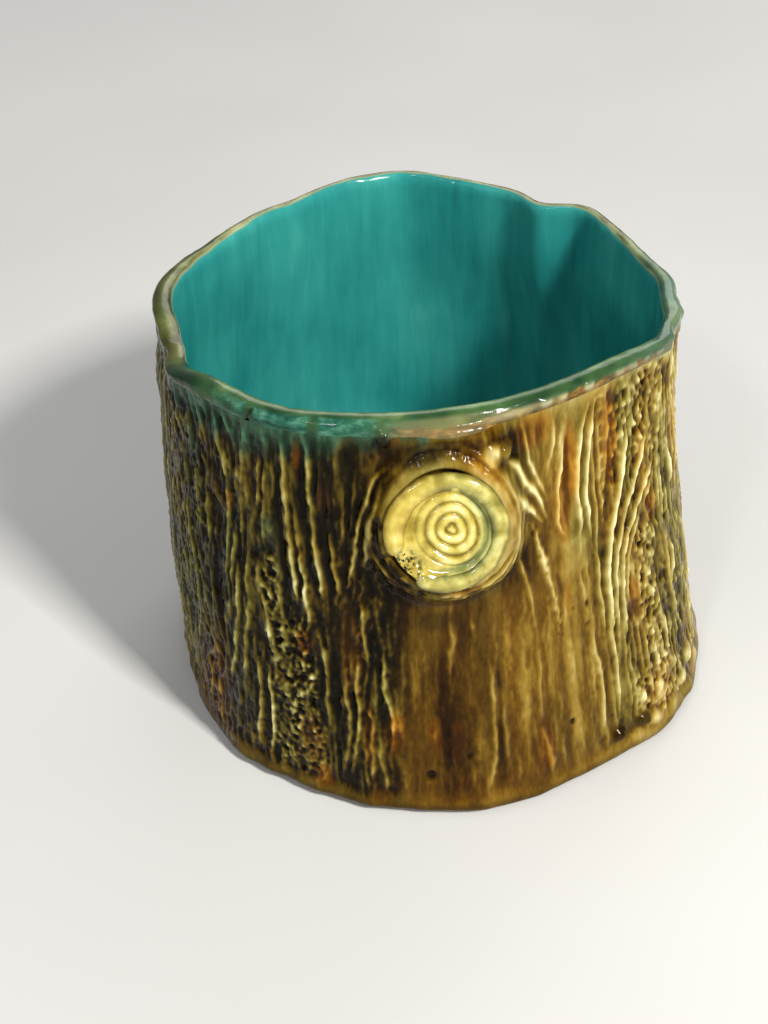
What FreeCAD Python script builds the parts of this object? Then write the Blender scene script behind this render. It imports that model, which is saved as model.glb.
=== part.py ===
"""Tree-stump cachepot in glazed earthenware: an open pot shaped as a sawn tree trunk with one cut branch.

Units are millimetres. +Z is up, the pot stands on z = 0 and the cut branch faces -Y. The parts are
drawn round the trunk's axis, and then moved together so that the origin is the middle of the footprint.
The clay parts and the inner glaze coat are separate solids that seat on each other.
"""

import FreeCAD, Part
import math
import os

from FreeCAD import Placement, Rotation, Vector

# Overall sizes
rim_height = 200.0
rim_radius = 122.0
root_radius = 142.0

# Foot, floor, wall and lip
foot_height = 2.5
foot_width = 13.0
foot_inset = 14.0
foot_taper = 2.0
floor_thickness = 9.0
root_edge_radius = 4.0
wall_thickness = 8.5
wall_fillet_radius = 12.0
lip_band_height = 10.0

# Inner glaze coat
glaze_thickness = 1.0
glaze_gap = 0.3

# Bark relief, and the spacing of the ridges from which a valley has its full depth
bark_depth = 3.0
ridge_pitch = 9.0
back_ridges = 40

# Cut branch: the collar of bark, the sawn face let into it and the coil laid round the face
branch_drop = 42.0
branch_reach = 7.0
face_radius = 19.0
face_thickness = 5.0
face_seat_depth = 4.0
growth_ring_height = 1.3
edge_coil_gap = 1.1
edge_coil_thickness = 6.0
edge_coil_flat = 1.2
collar_margin = 2.0
collar_taper = 2.5
collar_seat_depth = 10.0
collar_edge_radius = 2.0
bark_swell = 6.0
bark_swell_radius = 44.0
luting_gap = 0.3

# Clay pellets pressed into the bark
pellet_radius = 4.2
pellet_rise = 2.6
pellet_edge_radius = 2.0
pellet_seat_depth = 4.0

# How far a cutter runs past what it cuts
overrun = 3.0

# Directions in degrees, and counts
branch_direction = 273.2
branch_seat_tilt = 7.0
branch_face_tilt = 19.0
coil_gap_direction = 218.0
coil_gap_width = 34.0
outline_points = 60
turned_points = 36
tube_points = 9
coil_steps = 36
arc_steps = 3
flare_power = 1.35
lean_waves = 3

# Outline of the mouth every 10 degrees from +X, as shares of rim_radius
rim_outline_shares = [
    1.006, 0.968, 0.960, 0.975, 0.992, 0.918, 0.985, 1.008, 1.030, 1.065, 1.043, 1.008,
    0.965, 0.958, 0.944, 0.948, 0.980, 1.008, 1.000, 0.978, 0.990, 1.020, 1.030, 1.035,
    1.040, 1.020, 0.990, 0.972, 0.960, 0.955, 0.955, 0.965, 0.980, 1.010, 1.030, 1.008,
]
# Outline at the ground every 10 degrees, as shares of root_radius
root_outline_shares = [
    1.050, 1.060, 1.040, 1.010, 1.030, 1.050, 1.020, 1.000, 0.990, 1.010, 1.030, 1.000,
    0.970, 0.960, 0.980, 0.980, 0.950, 0.925, 0.915, 0.905, 0.915, 0.930, 0.963, 0.990,
    0.993, 1.012, 1.035, 1.047, 1.065, 1.062, 1.050, 1.064, 1.090, 1.090, 1.072, 1.055,
]
# Smoother outline at the ground for the hollow, every 30 degrees, as shares of root_radius
hollow_root_shares = [1.044, 1.000, 0.995, 0.992, 0.962, 0.952, 0.900, 0.908, 0.965, 1.020, 1.035, 1.063]
# Rise and fall of the mouth's edge every 20 degrees, as shares of lip_band_height
rim_wave_shares = [
    0.100, 0.200, 0.300, 0.100, 0.300, 0.450, 0.300, 0.300, 0.100,
    0.000, -0.400, 0.000, 0.000, 0.000, 0.000, 0.000, 0.000, 0.000,
]
# Fullness of the trunk at mid height every 30 degrees, as shares of its radius
belly_shares = [0.000, 0.012, 0.018, 0.012, 0.012, 0.012, 0.030, 0.028, 0.018, 0.012, 0.010, -0.008]

# Levels of the bark outlines, as shares of the wall's height
bark_level_shares = [0.00, 0.08, 0.20, 0.33, 0.46, 0.58, 0.70, 0.84, 1.00]
# Relief at each level, as shares of bark_depth
bark_relief_shares = [0.40, 0.85, 1.00, 0.95, 1.00, 0.95, 1.00, 0.85, 0.35]
# Directions of the ridges on the branch's side, at the foot, the quarters and the top of the wall
front_ridge_lines = [
    [199.0, 199.0, 199.0, 199.0, 199.0],
    [202.5, 202.5, 202.0, 202.0, 202.5],
    [206.0, 206.0, 206.0, 205.5, 206.0],
    [209.5, 210.0, 209.5, 209.0, 209.0],
    [213.0, 213.5, 213.5, 212.0, 212.5],
    [216.5, 217.0, 217.5, 218.5, 217.0],
    [219.5, 221.0, 222.0, 222.0, 221.0],
    [222.8, 225.0, 226.0, 226.1, 224.7],
    [225.0, 227.0, 228.3, 228.8, 228.3],
    [228.5, 228.8, 230.8, 230.9, 231.5],
    [231.0, 231.8, 233.2, 233.3, 233.8],
    [233.6, 234.8, 235.4, 235.7, 236.4],
    [236.8, 237.5, 237.6, 237.8, 238.6],
    [240.2, 240.2, 240.2, 240.0, 240.2],
    [243.2, 243.4, 244.0, 242.6, 242.2],
    [246.2, 246.6, 246.6, 245.0, 244.4],
    [249.0, 250.0, 249.6, 248.4, 247.0],
    [252.8, 253.8, 252.6, 251.4, 250.2],
    [255.6, 256.3, 255.3, 254.2, 254.0],
    [258.9, 258.8, 257.6, 257.0, 259.5],
    [262.2, 262.4, 260.8, 260.2, 263.5],
    [265.2, 264.2, 264.2, 264.2, 266.8],
    [268.4, 267.0, 267.2, 267.6, 269.5],
    [272.0, 272.2, 271.5, 271.2, 272.0],
    [276.6, 276.4, 276.0, 275.6, 275.5],
    [281.0, 281.9, 280.4, 279.6, 278.5],
    [286.4, 284.0, 284.6, 284.4, 282.5],
    [292.6, 290.5, 290.6, 288.2, 285.5],
    [297.4, 297.2, 295.4, 291.4, 288.4],
    [300.4, 300.4, 299.4, 296.0, 291.5],
    [303.0, 303.2, 302.0, 299.4, 295.4],
    [305.8, 306.4, 304.8, 302.2, 299.4],
    [308.0, 309.6, 308.8, 305.0, 303.6],
    [310.8, 311.6, 311.2, 308.4, 307.2],
    [313.6, 313.8, 313.4, 311.8, 310.6],
    [316.0, 315.8, 315.2, 316.0, 314.8],
    [319.4, 318.4, 317.2, 319.4, 319.0],
    [322.4, 321.4, 319.6, 322.6, 323.4],
    [325.4, 324.4, 322.6, 326.0, 327.4],
    [329.0, 328.0, 327.8, 329.4, 331.2],
    [333.0, 332.2, 332.6, 333.4, 335.2],
    [337.0, 336.8, 336.8, 337.4, 339.4],
    [341.4, 341.4, 341.0, 341.8, 343.4],
]
# Depth of the valley after each of these ridges, as shares of bark_depth
front_ridge_depth_shares = [
    0.80, 0.70, 0.90, 0.75, 0.90, 0.80, 1.00, 1.00, 0.90, 0.85, 0.80, 0.95, 0.90, 0.70, 0.85,
    0.80, 0.90, 0.85, 0.80, 0.75, 0.60, 0.50, 0.45, 0.45, 0.50, 0.60, 0.55, 0.75, 0.80, 0.50,
    0.45, 0.60, 0.85, 0.80, 0.75, 0.70, 0.90, 0.85, 0.80, 0.90, 0.85, 0.75, 0.80,
]
# Pattern of the ridges round the back: shift as shares of their spacing, depth as shares of bark_depth
ridge_shift_shares = [0.00, 0.14, -0.10, 0.20, 0.05, -0.16, 0.10, -0.04, 0.18]
ridge_depth_shares = [0.90, 0.55, 1.00, 0.70, 0.45, 0.95, 0.60]
ridge_lean_share = 0.50
# Half width of a crest, as a share of the way to the next ridge
ridge_crest_share = 0.24
# Levels of the hollow's side, as shares of its height above the rounded corner
hollow_level_shares = [0.25, 0.50, 0.75, 1.00]

# Crests of the growth rings, as shares of face_radius, and the dimple, as a share of the first crest
ring_crest_shares = [0.18, 0.42, 0.66, 0.90]
dimple_share = 0.25
# Thickness of the edge coil from its ends inwards, as shares of its full thickness
coil_end_shares = [0.55, 0.85]

# Pellets: direction in degrees, and height as shares of the wall's height
pellet_directions = [286.0, 308.5, 314.5]
pellet_height_shares = [0.960, 0.032, 0.036]

floor_top = foot_height + floor_thickness
wall_top = rim_height - lip_band_height
wall_height = wall_top - floor_top
lip_thickness = wall_thickness + glaze_gap + glaze_thickness
branch_height = rim_height - branch_drop
edge_coil_radius = face_radius + edge_coil_gap + edge_coil_thickness / 2.0
collar_rim_radius = edge_coil_radius + edge_coil_thickness / 2.0 + collar_margin
collar_radius = collar_rim_radius + collar_taper


def around(shares, angle):
    """Smooth closed curve through evenly spaced shares, read at an angle in degrees."""
    count = len(shares)
    place = (angle % 360.0) / 360.0 * count
    start = int(place)
    t = place - start
    a, b, c, d = (shares[(start + k) % count] for k in (-1, 0, 1, 2))
    return 0.5 * (2 * b + (c - a) * t + (2 * a - 5 * b + 4 * c - d) * t**2 + (3 * b - a - 3 * c + d) * t**3)


def flared_radius(root, angle, height):
    """Radius between a root radius at the ground and the mouth's radius, fuller at mid height."""
    rise = min(max(height / rim_height, 0.0), 1.0)
    spread = (1.0 - rise) ** flare_power
    rim = rim_radius * around(rim_outline_shares, angle)
    belly = 1.0 + around(belly_shares, angle) * math.sin(math.pi * rise)
    return (root * spread + rim * (1.0 - spread)) * belly


def trunk_radius(angle, height):
    """Radius of the trunk without its bark."""
    return flared_radius(root_radius * around(root_outline_shares, angle), angle, height)


def hollow_radius(angle, height):
    """Radius that the hollow follows, before the wall is taken off."""
    return flared_radius(root_radius * around(hollow_root_shares, angle), angle, height)


def swelling(angle, height):
    """Bulge of the bark around the cut branch."""
    turn = (angle - branch_direction + 180.0) % 360.0 - 180.0
    across = math.radians(turn) * rim_radius
    up = height - branch_height
    return bark_swell * math.exp(-(across**2 + up**2) / bark_swell_radius**2)


def mouth_height(angle):
    return rim_height + lip_band_height * around(rim_wave_shares, angle)


def polar(radius, angle, height):
    a = math.radians(angle)
    return Vector(radius * math.cos(a), radius * math.sin(a), height)


def quarter(steps):
    """Angles of a quarter turn, in radians."""
    return [math.pi / 2 * k / steps for k in range(steps + 1)]


def flat_face(points):
    return Part.Face(Part.makePolygon(points + points[:1]))


def facets_between(low, high):
    """Flat three-sided facets between two rings of as many points."""
    faces = []
    for k in range(len(low)):
        faces.append(flat_face([low[k - 1], low[k], high[k]]))
        faces.append(flat_face([low[k - 1], high[k], high[k - 1]]))
    return faces


def stacked_solid(rings, ends=True):
    """Solid skinned over rings of points, with flat ends, or with its last ring joined to its first."""
    faces = []
    for low, high in zip(rings, rings[1:]):
        faces += facets_between(low, high)
    faces += [flat_face(rings[0]), flat_face(rings[-1])] if ends else facets_between(rings[-1], rings[0])
    shell = Part.makeShell(faces)
    shell.sewShape()
    solid = Part.makeSolid(shell)
    if solid.Volume < 0.0:
        solid.reverse()
    return solid


def outline(radius_at, count, inset, height):
    """Points of a level outline at an inset from a radius that depends on direction and height."""
    angles = [360.0 * k / count for k in range(count)]
    return [polar(radius_at(a, height) - inset, a, height) for a in angles]


def trunk_outlines(profile):
    """Outlines of the trunk at each (inset, height) of a profile."""
    return [outline(trunk_radius, outline_points, inset, height) for inset, height in profile]


def circle(radius, lift):
    return [polar(radius, 360.0 * k / turned_points, lift) for k in range(turned_points)]


def ridge_directions(level):
    """Direction of every ridge at a level of the wall. Round the back they lean in slow waves."""
    place = level * (len(front_ridge_lines[0]) - 1)
    low = min(int(place), len(front_ridge_lines[0]) - 2)
    front = [line[low] + (line[low + 1] - line[low]) * (place - low) for line in front_ridge_lines]
    spacing = (front[0] + 360.0 - front[-1]) / (back_ridges + 1)
    back = []
    for k in range(1, back_ridges + 1):
        shift = ridge_shift_shares[k % len(ridge_shift_shares)]
        lean = ridge_lean_share * math.sin(2.0 * math.pi * (level + lean_waves * k / back_ridges))
        back.append(front[-1] + (k + shift + lean) * spacing)
    return front + back


def ridge_depth_share(index):
    if index < len(front_ridge_depth_shares):
        return front_ridge_depth_shares[index]
    return ridge_depth_shares[index % len(ridge_depth_shares)]


def bark_outline(level, relief):
    """Level outline of the bark: the two edges of each crest and the valley that follows it."""
    height = floor_top + level * wall_height
    crests = ridge_directions(level)
    following = crests[1:] + [crests[0] + 360.0]
    preceding = [crests[-1] - 360.0] + crests[:-1]
    points = []
    for index, crest in enumerate(crests):
        gap = following[index] - crest
        narrow = min(math.radians(gap) * rim_radius / ridge_pitch, 1.0)
        depth = bark_depth * relief * ridge_depth_share(index) * math.sqrt(narrow)
        before = crest - ridge_crest_share * (crest - preceding[index])
        edges = [(before, 0.0), (crest + ridge_crest_share * gap, 0.0), (crest + gap / 2.0, depth)]
        for angle, cut in edges:
            radius = trunk_radius(angle, height) + swelling(angle, height) - cut
            points.append(polar(radius, angle, height))
    return points


def hollow_form(standoff, bottom, top):
    """The pot's hollow, with a rounded corner at the floor, shrunk by a standoff from the wall."""
    radius = wall_fillet_radius - standoff
    inset = wall_thickness + wall_fillet_radius
    corner = [(radius * math.sin(t), radius * (1.0 - math.cos(t))) for t in quarter(arc_steps)]
    profile = [(inset - out, bottom + up) for out, up in corner]
    side = wall_thickness + standoff
    start = bottom + radius
    profile += [(side, start + (top - start) * share) for share in hollow_level_shares]
    return stacked_solid([outline(hollow_radius, outline_points, *place) for place in profile])


def make_foot_ring():
    """Unglazed ring that the pot stands on, narrower at the ground."""
    outer = [(foot_inset + foot_taper, 0.0), (foot_inset, foot_height)]
    inner = [(foot_inset + foot_width, foot_height), (foot_inset + foot_width - foot_taper, 0.0)]
    return stacked_solid(trunk_outlines(outer + inner), ends=False)


def make_base_slab():
    """Floor of the pot, with a rounded lower edge that overhangs the foot."""
    rounding = [(1.0 - math.sin(t), 1.0 - math.cos(t)) for t in quarter(arc_steps)]
    edge = [(root_edge_radius * inset, foot_height + root_edge_radius * up) for inset, up in rounding]
    return stacked_solid(trunk_outlines(edge + [(0.0, floor_top)]))


def make_trunk_wall():
    """Bark outside, smooth inside, with seats for the branch and the pellets."""
    rings = [bark_outline(level, relief) for level, relief in zip(bark_level_shares, bark_relief_shares)]
    wall = stacked_solid(rings).cut(hollow_form(0.0, floor_top, wall_top + overrun))
    seats = [on_branch(seat_cutter(collar_radius, collar_seat_depth, branch_reach))]
    for index in range(len(pellet_directions)):
        seats.append(on_bark(seat_cutter(pellet_radius, pellet_seat_depth, 0.0), index))
    return wall.cut(seats)


def seat_cutter(radius, depth, reach):
    """Round cutter for a seat, drawn with +Z outward."""
    return Part.makeCylinder(radius + luting_gap, depth + reach + overrun, Vector(0.0, 0.0, -depth))


def make_rim_lip():
    """Rounded lip that rises and falls round the mouth and covers the wall's top and the glaze's edge."""
    half = lip_thickness / 2.0
    angles = [360.0 * k / outline_points for k in range(outline_points)]

    def wavy(inset, drop):
        return [polar(trunk_radius(a, wall_top) - inset, a, mouth_height(a) - drop) for a in angles]

    turns = [2.0 * t for t in quarter(2 * arc_steps)]
    rounded = [wavy(half * (1.0 - math.cos(t)), half * (1.0 - math.sin(t))) for t in turns]
    outer_foot, inner_foot = trunk_outlines([(0.0, wall_top), (lip_thickness, wall_top)])
    return stacked_solid([outer_foot] + rounded + [inner_foot], ends=False)


def make_inner_glaze():
    """Turquoise glaze coat over the floor and the inside of the wall."""
    coat = hollow_form(glaze_gap, floor_top, wall_top)
    inside = hollow_form(glaze_gap + glaze_thickness, floor_top + glaze_thickness, wall_top + overrun)
    return coat.cut(inside)


def surface_frame(shape, direction, height, tilt, swell):
    """Places a shape, drawn with +Z outward and +Y up, on the trunk's outline."""
    outward = Rotation(Vector(0.0, 0.0, 1.0), direction) * Rotation(Vector(0.0, 1.0, 0.0), 90.0 - tilt)
    upright = Rotation(Vector(0.0, 0.0, 1.0), 90.0)
    placed = shape.copy()
    base = polar(trunk_radius(direction, height) + swell, direction, height)
    placed.Placement = Placement(base, outward * upright).multiply(shape.Placement)
    return placed


def on_branch(shape):
    return surface_frame(shape, branch_direction, branch_height, branch_seat_tilt, bark_swell)


def on_bark(shape, index):
    height = floor_top + wall_height * pellet_height_shares[index]
    return surface_frame(shape, pellet_directions[index], height, branch_seat_tilt, 0.0)


def face_placement():
    """Where the sawn face lies in the branch's frame. It leans back from the collar's axis."""
    lean = Rotation(Vector(1.0, 0.0, 0.0), branch_seat_tilt - branch_face_tilt)
    return Placement(Vector(0.0, 0.0, branch_reach), lean)


def on_face(shape):
    leaned = shape.copy()
    leaned.Placement = face_placement().multiply(shape.Placement)
    return leaned


def make_branch_collar():
    """Stub of bark seated in the wall, tapering to a sawn end with a recess for the face."""
    rounding = [(1.0 - math.cos(t), 1.0 - math.sin(t)) for t in quarter(arc_steps)]
    rings = [circle(collar_radius, -collar_seat_depth), circle(collar_radius, -collar_edge_radius)]
    for inset, drop in rounding:
        edge = circle(collar_rim_radius - collar_edge_radius * inset, -collar_edge_radius * drop)
        rings.append([face_placement().multVec(point) for point in edge])
    recess_radius = face_radius + luting_gap
    recess = stacked_solid([circle(recess_radius, -face_seat_depth), circle(recess_radius, overrun)])
    return on_branch(stacked_solid(rings).cut(on_face(recess)))


def make_branch_face():
    """Sawn face of the branch, a disc with raised growth rings round a dimple."""
    crests = [face_radius * share for share in ring_crest_shares]
    valleys = [(a + b) / 2.0 for a, b in zip(crests, crests[1:])]
    top = face_thickness - face_seat_depth
    profile = [(face_radius, -face_seat_depth), (face_radius, top)]
    for index in reversed(range(len(crests))):
        profile += [(crests[index], top + growth_ring_height)]
        profile += [(valleys[index - 1] if index else crests[0] * dimple_share, top)]
    return on_branch(on_face(stacked_solid([circle(radius, lift) for radius, lift in profile])))


def make_branch_edge_coil():
    """Coil of clay round the sawn face, open at the lower left, with a flat where it sits on the collar."""
    tube = edge_coil_thickness / 2.0
    flat_angle = math.asin(1.0 - edge_coil_flat / tube)
    turns = [-flat_angle + (math.pi + 2.0 * flat_angle) * k / tube_points for k in range(tube_points + 1)]
    sections = []
    for step in range(coil_steps + 1):
        place = step / coil_steps
        direction = coil_gap_direction + coil_gap_width / 2.0 + (360.0 - coil_gap_width) * place
        size = tube * end_taper(place)
        section = [(size * math.cos(t), size * (math.sin(t) + math.sin(flat_angle))) for t in turns]
        sections.append([polar(edge_coil_radius + out, direction, up) for out, up in section])
    return on_branch(on_face(stacked_solid(sections)))


def end_taper(place):
    """Thickness of the coil along its length, as a share, rounded off at both ends."""
    from_end = min(place, 1.0 - place) * coil_steps
    return coil_end_shares[int(from_end)] if from_end < len(coil_end_shares) else 1.0


def make_bark_pellets():
    """Small domed pellets of clay, each seated in the wall."""
    edge = [(pellet_edge_radius * math.cos(t), pellet_edge_radius * math.sin(t)) for t in quarter(arc_steps)]
    flat_radius = pellet_radius - pellet_edge_radius
    edge_start = pellet_rise - pellet_edge_radius
    rings = [circle(pellet_radius, -pellet_seat_depth)]
    rings += [circle(flat_radius + out, edge_start + up) for out, up in edge]
    pellet = stacked_solid(rings)
    return Part.makeCompound([on_bark(pellet, index) for index in range(len(pellet_directions))])


def main():
    os.makedirs("parts", exist_ok=True)
    pieces = {
        "foot_ring": make_foot_ring(),
        "base_slab": make_base_slab(),
        "trunk_wall": make_trunk_wall(),
        "rim_lip": make_rim_lip(),
        "inner_glaze": make_inner_glaze(),
        "branch_collar": make_branch_collar(),
        "branch_face": make_branch_face(),
        "branch_edge_coil": make_branch_edge_coil(),
        "bark_pellets": make_bark_pellets(),
    }
    bounds = Part.makeCompound(list(pieces.values())).BoundBox
    for name, piece in pieces.items():
        piece.translate(Vector(-bounds.Center.x, -bounds.Center.y, -bounds.ZMin))
        piece.exportStep("parts/" + name + ".step")


if __name__ == "__main__":
    main()
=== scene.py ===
import math

import bmesh
import bpy
import numpy as np
from mathutils import Matrix, Vector


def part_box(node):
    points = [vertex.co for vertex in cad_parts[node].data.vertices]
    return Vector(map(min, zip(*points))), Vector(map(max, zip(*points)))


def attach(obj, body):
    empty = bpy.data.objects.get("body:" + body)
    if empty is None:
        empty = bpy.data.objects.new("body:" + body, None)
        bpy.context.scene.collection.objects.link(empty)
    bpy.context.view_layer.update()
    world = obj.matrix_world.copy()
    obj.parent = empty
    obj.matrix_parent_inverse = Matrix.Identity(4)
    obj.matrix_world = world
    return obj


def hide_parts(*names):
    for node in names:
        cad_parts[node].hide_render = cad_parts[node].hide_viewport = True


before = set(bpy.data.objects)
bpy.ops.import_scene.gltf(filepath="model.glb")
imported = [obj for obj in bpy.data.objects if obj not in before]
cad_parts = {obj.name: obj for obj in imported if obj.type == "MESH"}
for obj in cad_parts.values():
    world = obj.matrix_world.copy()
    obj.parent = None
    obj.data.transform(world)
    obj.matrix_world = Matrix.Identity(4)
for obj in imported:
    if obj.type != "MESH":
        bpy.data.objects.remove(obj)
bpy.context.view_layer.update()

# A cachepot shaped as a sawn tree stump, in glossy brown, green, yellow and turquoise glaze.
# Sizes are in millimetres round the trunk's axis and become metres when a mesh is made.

MM = 0.001

# Sizes of the pot, as in the part
rim_height = 200
rim_radius = 122
root_radius = 142
foot_height = 2.5
foot_width = 13
foot_inset = 14
foot_taper = 2
floor_thickness = 9
root_edge_radius = 4
wall_thickness = 8.5
wall_fillet_radius = 12
lip_band_height = 10
glaze_thickness = 1
glaze_gap = 0.3
flare_power = 1.35

# The cut branch, as in the part
branch_direction = 273.2
branch_drop = 42
branch_reach = 7
branch_seat_tilt = 7
branch_face_tilt = 19
face_radius = 19
edge_coil_gap = 1.1
edge_coil_thickness = 6
bark_swell = 6
bark_swell_radius = 44
coil_gap_direction = 218
coil_gap_width = 34

# Outline of the mouth every 10 degrees from +X, as shares of rim_radius
rim_outline_shares = [
    1.006, 0.968, 0.96, 0.975, 0.992, 0.918, 0.985, 1.008, 1.03, 1.065, 1.043, 1.008, 0.965, 0.958, 0.944,
    0.948, 0.98, 1.008, 1, 0.978, 0.99, 1.02, 1.03, 1.035, 1.04, 1.02, 0.99, 0.972, 0.96, 0.955, 0.955,
    0.965, 0.98, 1.01, 1.03, 1.008,
]
# Outline at the ground every 10 degrees, as shares of root_radius
root_outline_shares = [
    1.05, 1.06, 1.04, 1.01, 1.03, 1.05, 1.02, 1, 0.99, 1.01, 1.03, 1, 0.97, 0.96, 0.98, 0.98, 0.95, 0.925,
    0.915, 0.905, 0.915, 0.93, 0.963, 0.99, 0.993, 1.012, 1.035, 1.047, 1.065, 1.062, 1.05, 1.064, 1.09,
    1.09, 1.072, 1.055,
]
# Outline at the ground that the hollow follows, every 30 degrees, as shares of root_radius
hollow_root_shares = [
    1.044, 1, 0.995, 0.992, 0.962, 0.952, 0.9, 0.908, 0.965, 1.02, 1.035, 1.063,
]
# Rise and fall of the mouth's edge every 20 degrees, as shares of lip_band_height
rim_wave_shares = [
    0.1, 0.2, 0.3, 0.1, 0.3, 0.45, 0.3, 0.3, 0.1, 0, -0.4, 0, 0, 0, 0, 0, 0, 0,
]
# Fullness of the trunk at mid height every 30 degrees, as shares of its radius
belly_shares = [
    0, 0.012, 0.018, 0.012, 0.012, 0.012, 0.03, 0.028, 0.018, 0.012, 0.01, -0.008,
]
# Place across the lip where its turquoise begins, every 30 degrees, from 0 outside to 1 inside
teal_edge_shares = [
    0.76, 0.62, 0.55, 0.54, 0.56, 0.64, 0.78, 0.83, 0.84, 0.84, 0.8, 0.78,
]
# Thickness of the lip every 30 degrees, as shares of the part's
lip_width_shares = [
    0.84, 0.78, 0.76, 0.78, 0.84, 0.98, 1.06, 1.02, 0.96, 0.9, 0.86, 0.84,
]

floor_top = foot_height + floor_thickness
wall_top = rim_height - lip_band_height
lip_thickness = wall_thickness + glaze_gap + glaze_thickness
branch_height = rim_height - branch_drop
edge_coil_radius = face_radius + edge_coil_gap + edge_coil_thickness / 2


# Smooth steps and noise

def smooth(low, high, value):
    """Step from 0 at low to 1 at high. It falls where low is the larger."""
    t = np.clip((value - low) / (high - low), 0, 1)
    return t * t * (3 - 2 * t)


def band(value, start, full_from, full_to, end):
    """1 between full_from and full_to, easing to 0 at start and end."""
    return smooth(start, full_from, value) * smooth(end, full_to, value)


def hump(value, middle, reach, power=2):
    """Bell from 1 at the middle to 0 far from it, flatter on top with a higher power."""
    return np.exp(-((value - middle) / reach) ** power)


def mixed(a, b, share):
    return a + (b - a) * share


def turn_from(angle, direction):
    """Signed turn in degrees from a direction, between -180 and 180."""
    return np.mod(angle - direction + 180, 360) - 180


def facing(angle, direction, reach, power=2):
    """Bell over directions, 1 at one of them."""
    return hump(turn_from(angle, direction), 0, reach, power)


def cosine(degrees):
    return np.cos(np.radians(degrees))


bark_radius = 130                          # turns directions into millimetres along the bark
round_mm = 2 * math.pi * bark_radius
noise_height = 260                         # height that a field of noise covers, from below the foot
noise_below = 30


def cloud(across, up, cell_across, cell_up, seed):
    """Smooth noise between -1 and 1 that closes round the trunk. Places and cells are in millimetres."""
    columns = max(3, int(round(round_mm / cell_across)))
    rows = int(math.ceil(noise_height / cell_up)) + 4
    lattice = np.random.default_rng(seed).uniform(-1, 1, (rows, columns))
    x = across / round_mm * columns
    y = np.clip((up + noise_below) / cell_up, 0, rows - 2.001)
    i, j = np.floor(x).astype(int), np.floor(y).astype(int)
    fx, fy = x - i, y - j
    fx, fy = fx * fx * (3 - 2 * fx), fy * fy * (3 - 2 * fy)
    left, right = i % columns, (i + 1) % columns
    low = lattice[j, left] * (1 - fx) + lattice[j, right] * fx
    high = lattice[j + 1, left] * (1 - fx) + lattice[j + 1, right] * fx
    return low * (1 - fy) + high * fy


def blurred(field, passes):
    """Field smoothed with a three-point kernel at growing steps. It closes across its columns."""
    for step in passes:
        side = np.roll(field, step, axis=1) + np.roll(field, -step, axis=1)
        field = 0.5 * field + 0.25 * side
        padded = np.pad(field, ((step, step), (0, 0)), mode="edge")
        field = 0.5 * field + 0.25 * (padded[:-2 * step] + padded[2 * step:])
    return field


# The trunk's shape, as in the part

def around(shares, angle):
    """Smooth closed curve through evenly spaced shares, read at angles in degrees."""
    table = np.asarray(shares, dtype=float)
    count = len(table)
    place = np.mod(angle, 360) / 360 * count
    start = np.floor(place).astype(int)
    t = place - start
    a, b, c, d = (table[(start + k) % count] for k in (-1, 0, 1, 2))
    return 0.5 * (2 * b + (c - a) * t + (2 * a - 5 * b + 4 * c - d) * t**2 + (3 * b - a - 3 * c + d) * t**3)


def flared_radius(shares, angle, height):
    """Radius between an outline at the ground and the mouth's outline, fuller at mid height."""
    rise = np.clip(height / rim_height, 0, 1)
    spread = (1 - rise) ** flare_power
    root = root_radius * around(shares, angle)
    rim = rim_radius * around(rim_outline_shares, angle)
    belly = 1 + around(belly_shares, angle) * np.sin(np.pi * rise)
    return (root * spread + rim * (1 - spread)) * belly


def trunk_radius(angle, height):
    return flared_radius(root_outline_shares, angle, height)


def swelling(angle, height):
    """Bulge of the bark around the cut branch."""
    across = np.radians(turn_from(angle, branch_direction)) * rim_radius
    up = height - branch_height
    return bark_swell * np.exp(-(across**2 + up**2) / bark_swell_radius**2)


def front_rise(angle):
    """Share by which the front of the mouth is drawn up."""
    return band(angle, 204, 224, 312, 338)


def trunk_axis():
    """Place of the trunk's axis in the frame, in metres, from the box of the lip and its outline."""
    angles = np.arange(0, 360, 6)
    radius = trunk_radius(angles, wall_top) * MM
    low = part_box("rim_lip")[0]
    return low[0] - (radius * cosine(angles)).min(), low[1] - (radius * np.sin(np.radians(angles))).min()


axis_x, axis_y = trunk_axis()


# The bark's grid: direction across, height up, finer on the side with the branch

fine_from, fine_to = 196, 344
fine_step, coarse_step = 0.28, 0.46
bark_rows = 236

directions = np.concatenate([
    np.arange(90, fine_from, coarse_step),
    np.arange(fine_from, fine_to, fine_step),
    np.arange(fine_to, 450, coarse_step),
])
directions = directions[directions < 450 - 0.5 * coarse_step]
bark_bottom = foot_height + root_edge_radius
bark_top = rim_height - 6.5
bowl_top = bark_top - 9
top_lift = 3.4                             # how far the front of the bark is drawn up
heights = np.linspace(bark_bottom, bark_top, bark_rows)
arcs = np.radians(directions) * bark_radius
ANGLE, HEIGHT = np.meshgrid(directions, heights)
ARC = np.radians(ANGLE) * bark_radius
RISE = HEIGHT / rim_height
stretch_length = 2.6                       # one straight stretch of a ridge
end_widths = 2.6                           # length over which a ridge thins out, in its own widths
end_sink = 1.3                             # how far its ends sink
cone_foot, cone_span = 0.1414, 0.8686      # scale the rounded cone of a ridge from 0 to 1


def grain(cell_across, cell_up, seed):
    """Smooth noise on the bark's grid."""
    return cloud(ARC, HEIGHT, cell_across, cell_up, seed)


def place_of(angle, rise):
    """Millimetres across and up for a direction in degrees and a share of the pot's height."""
    return math.radians(angle) * bark_radius, rise * rim_height


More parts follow.
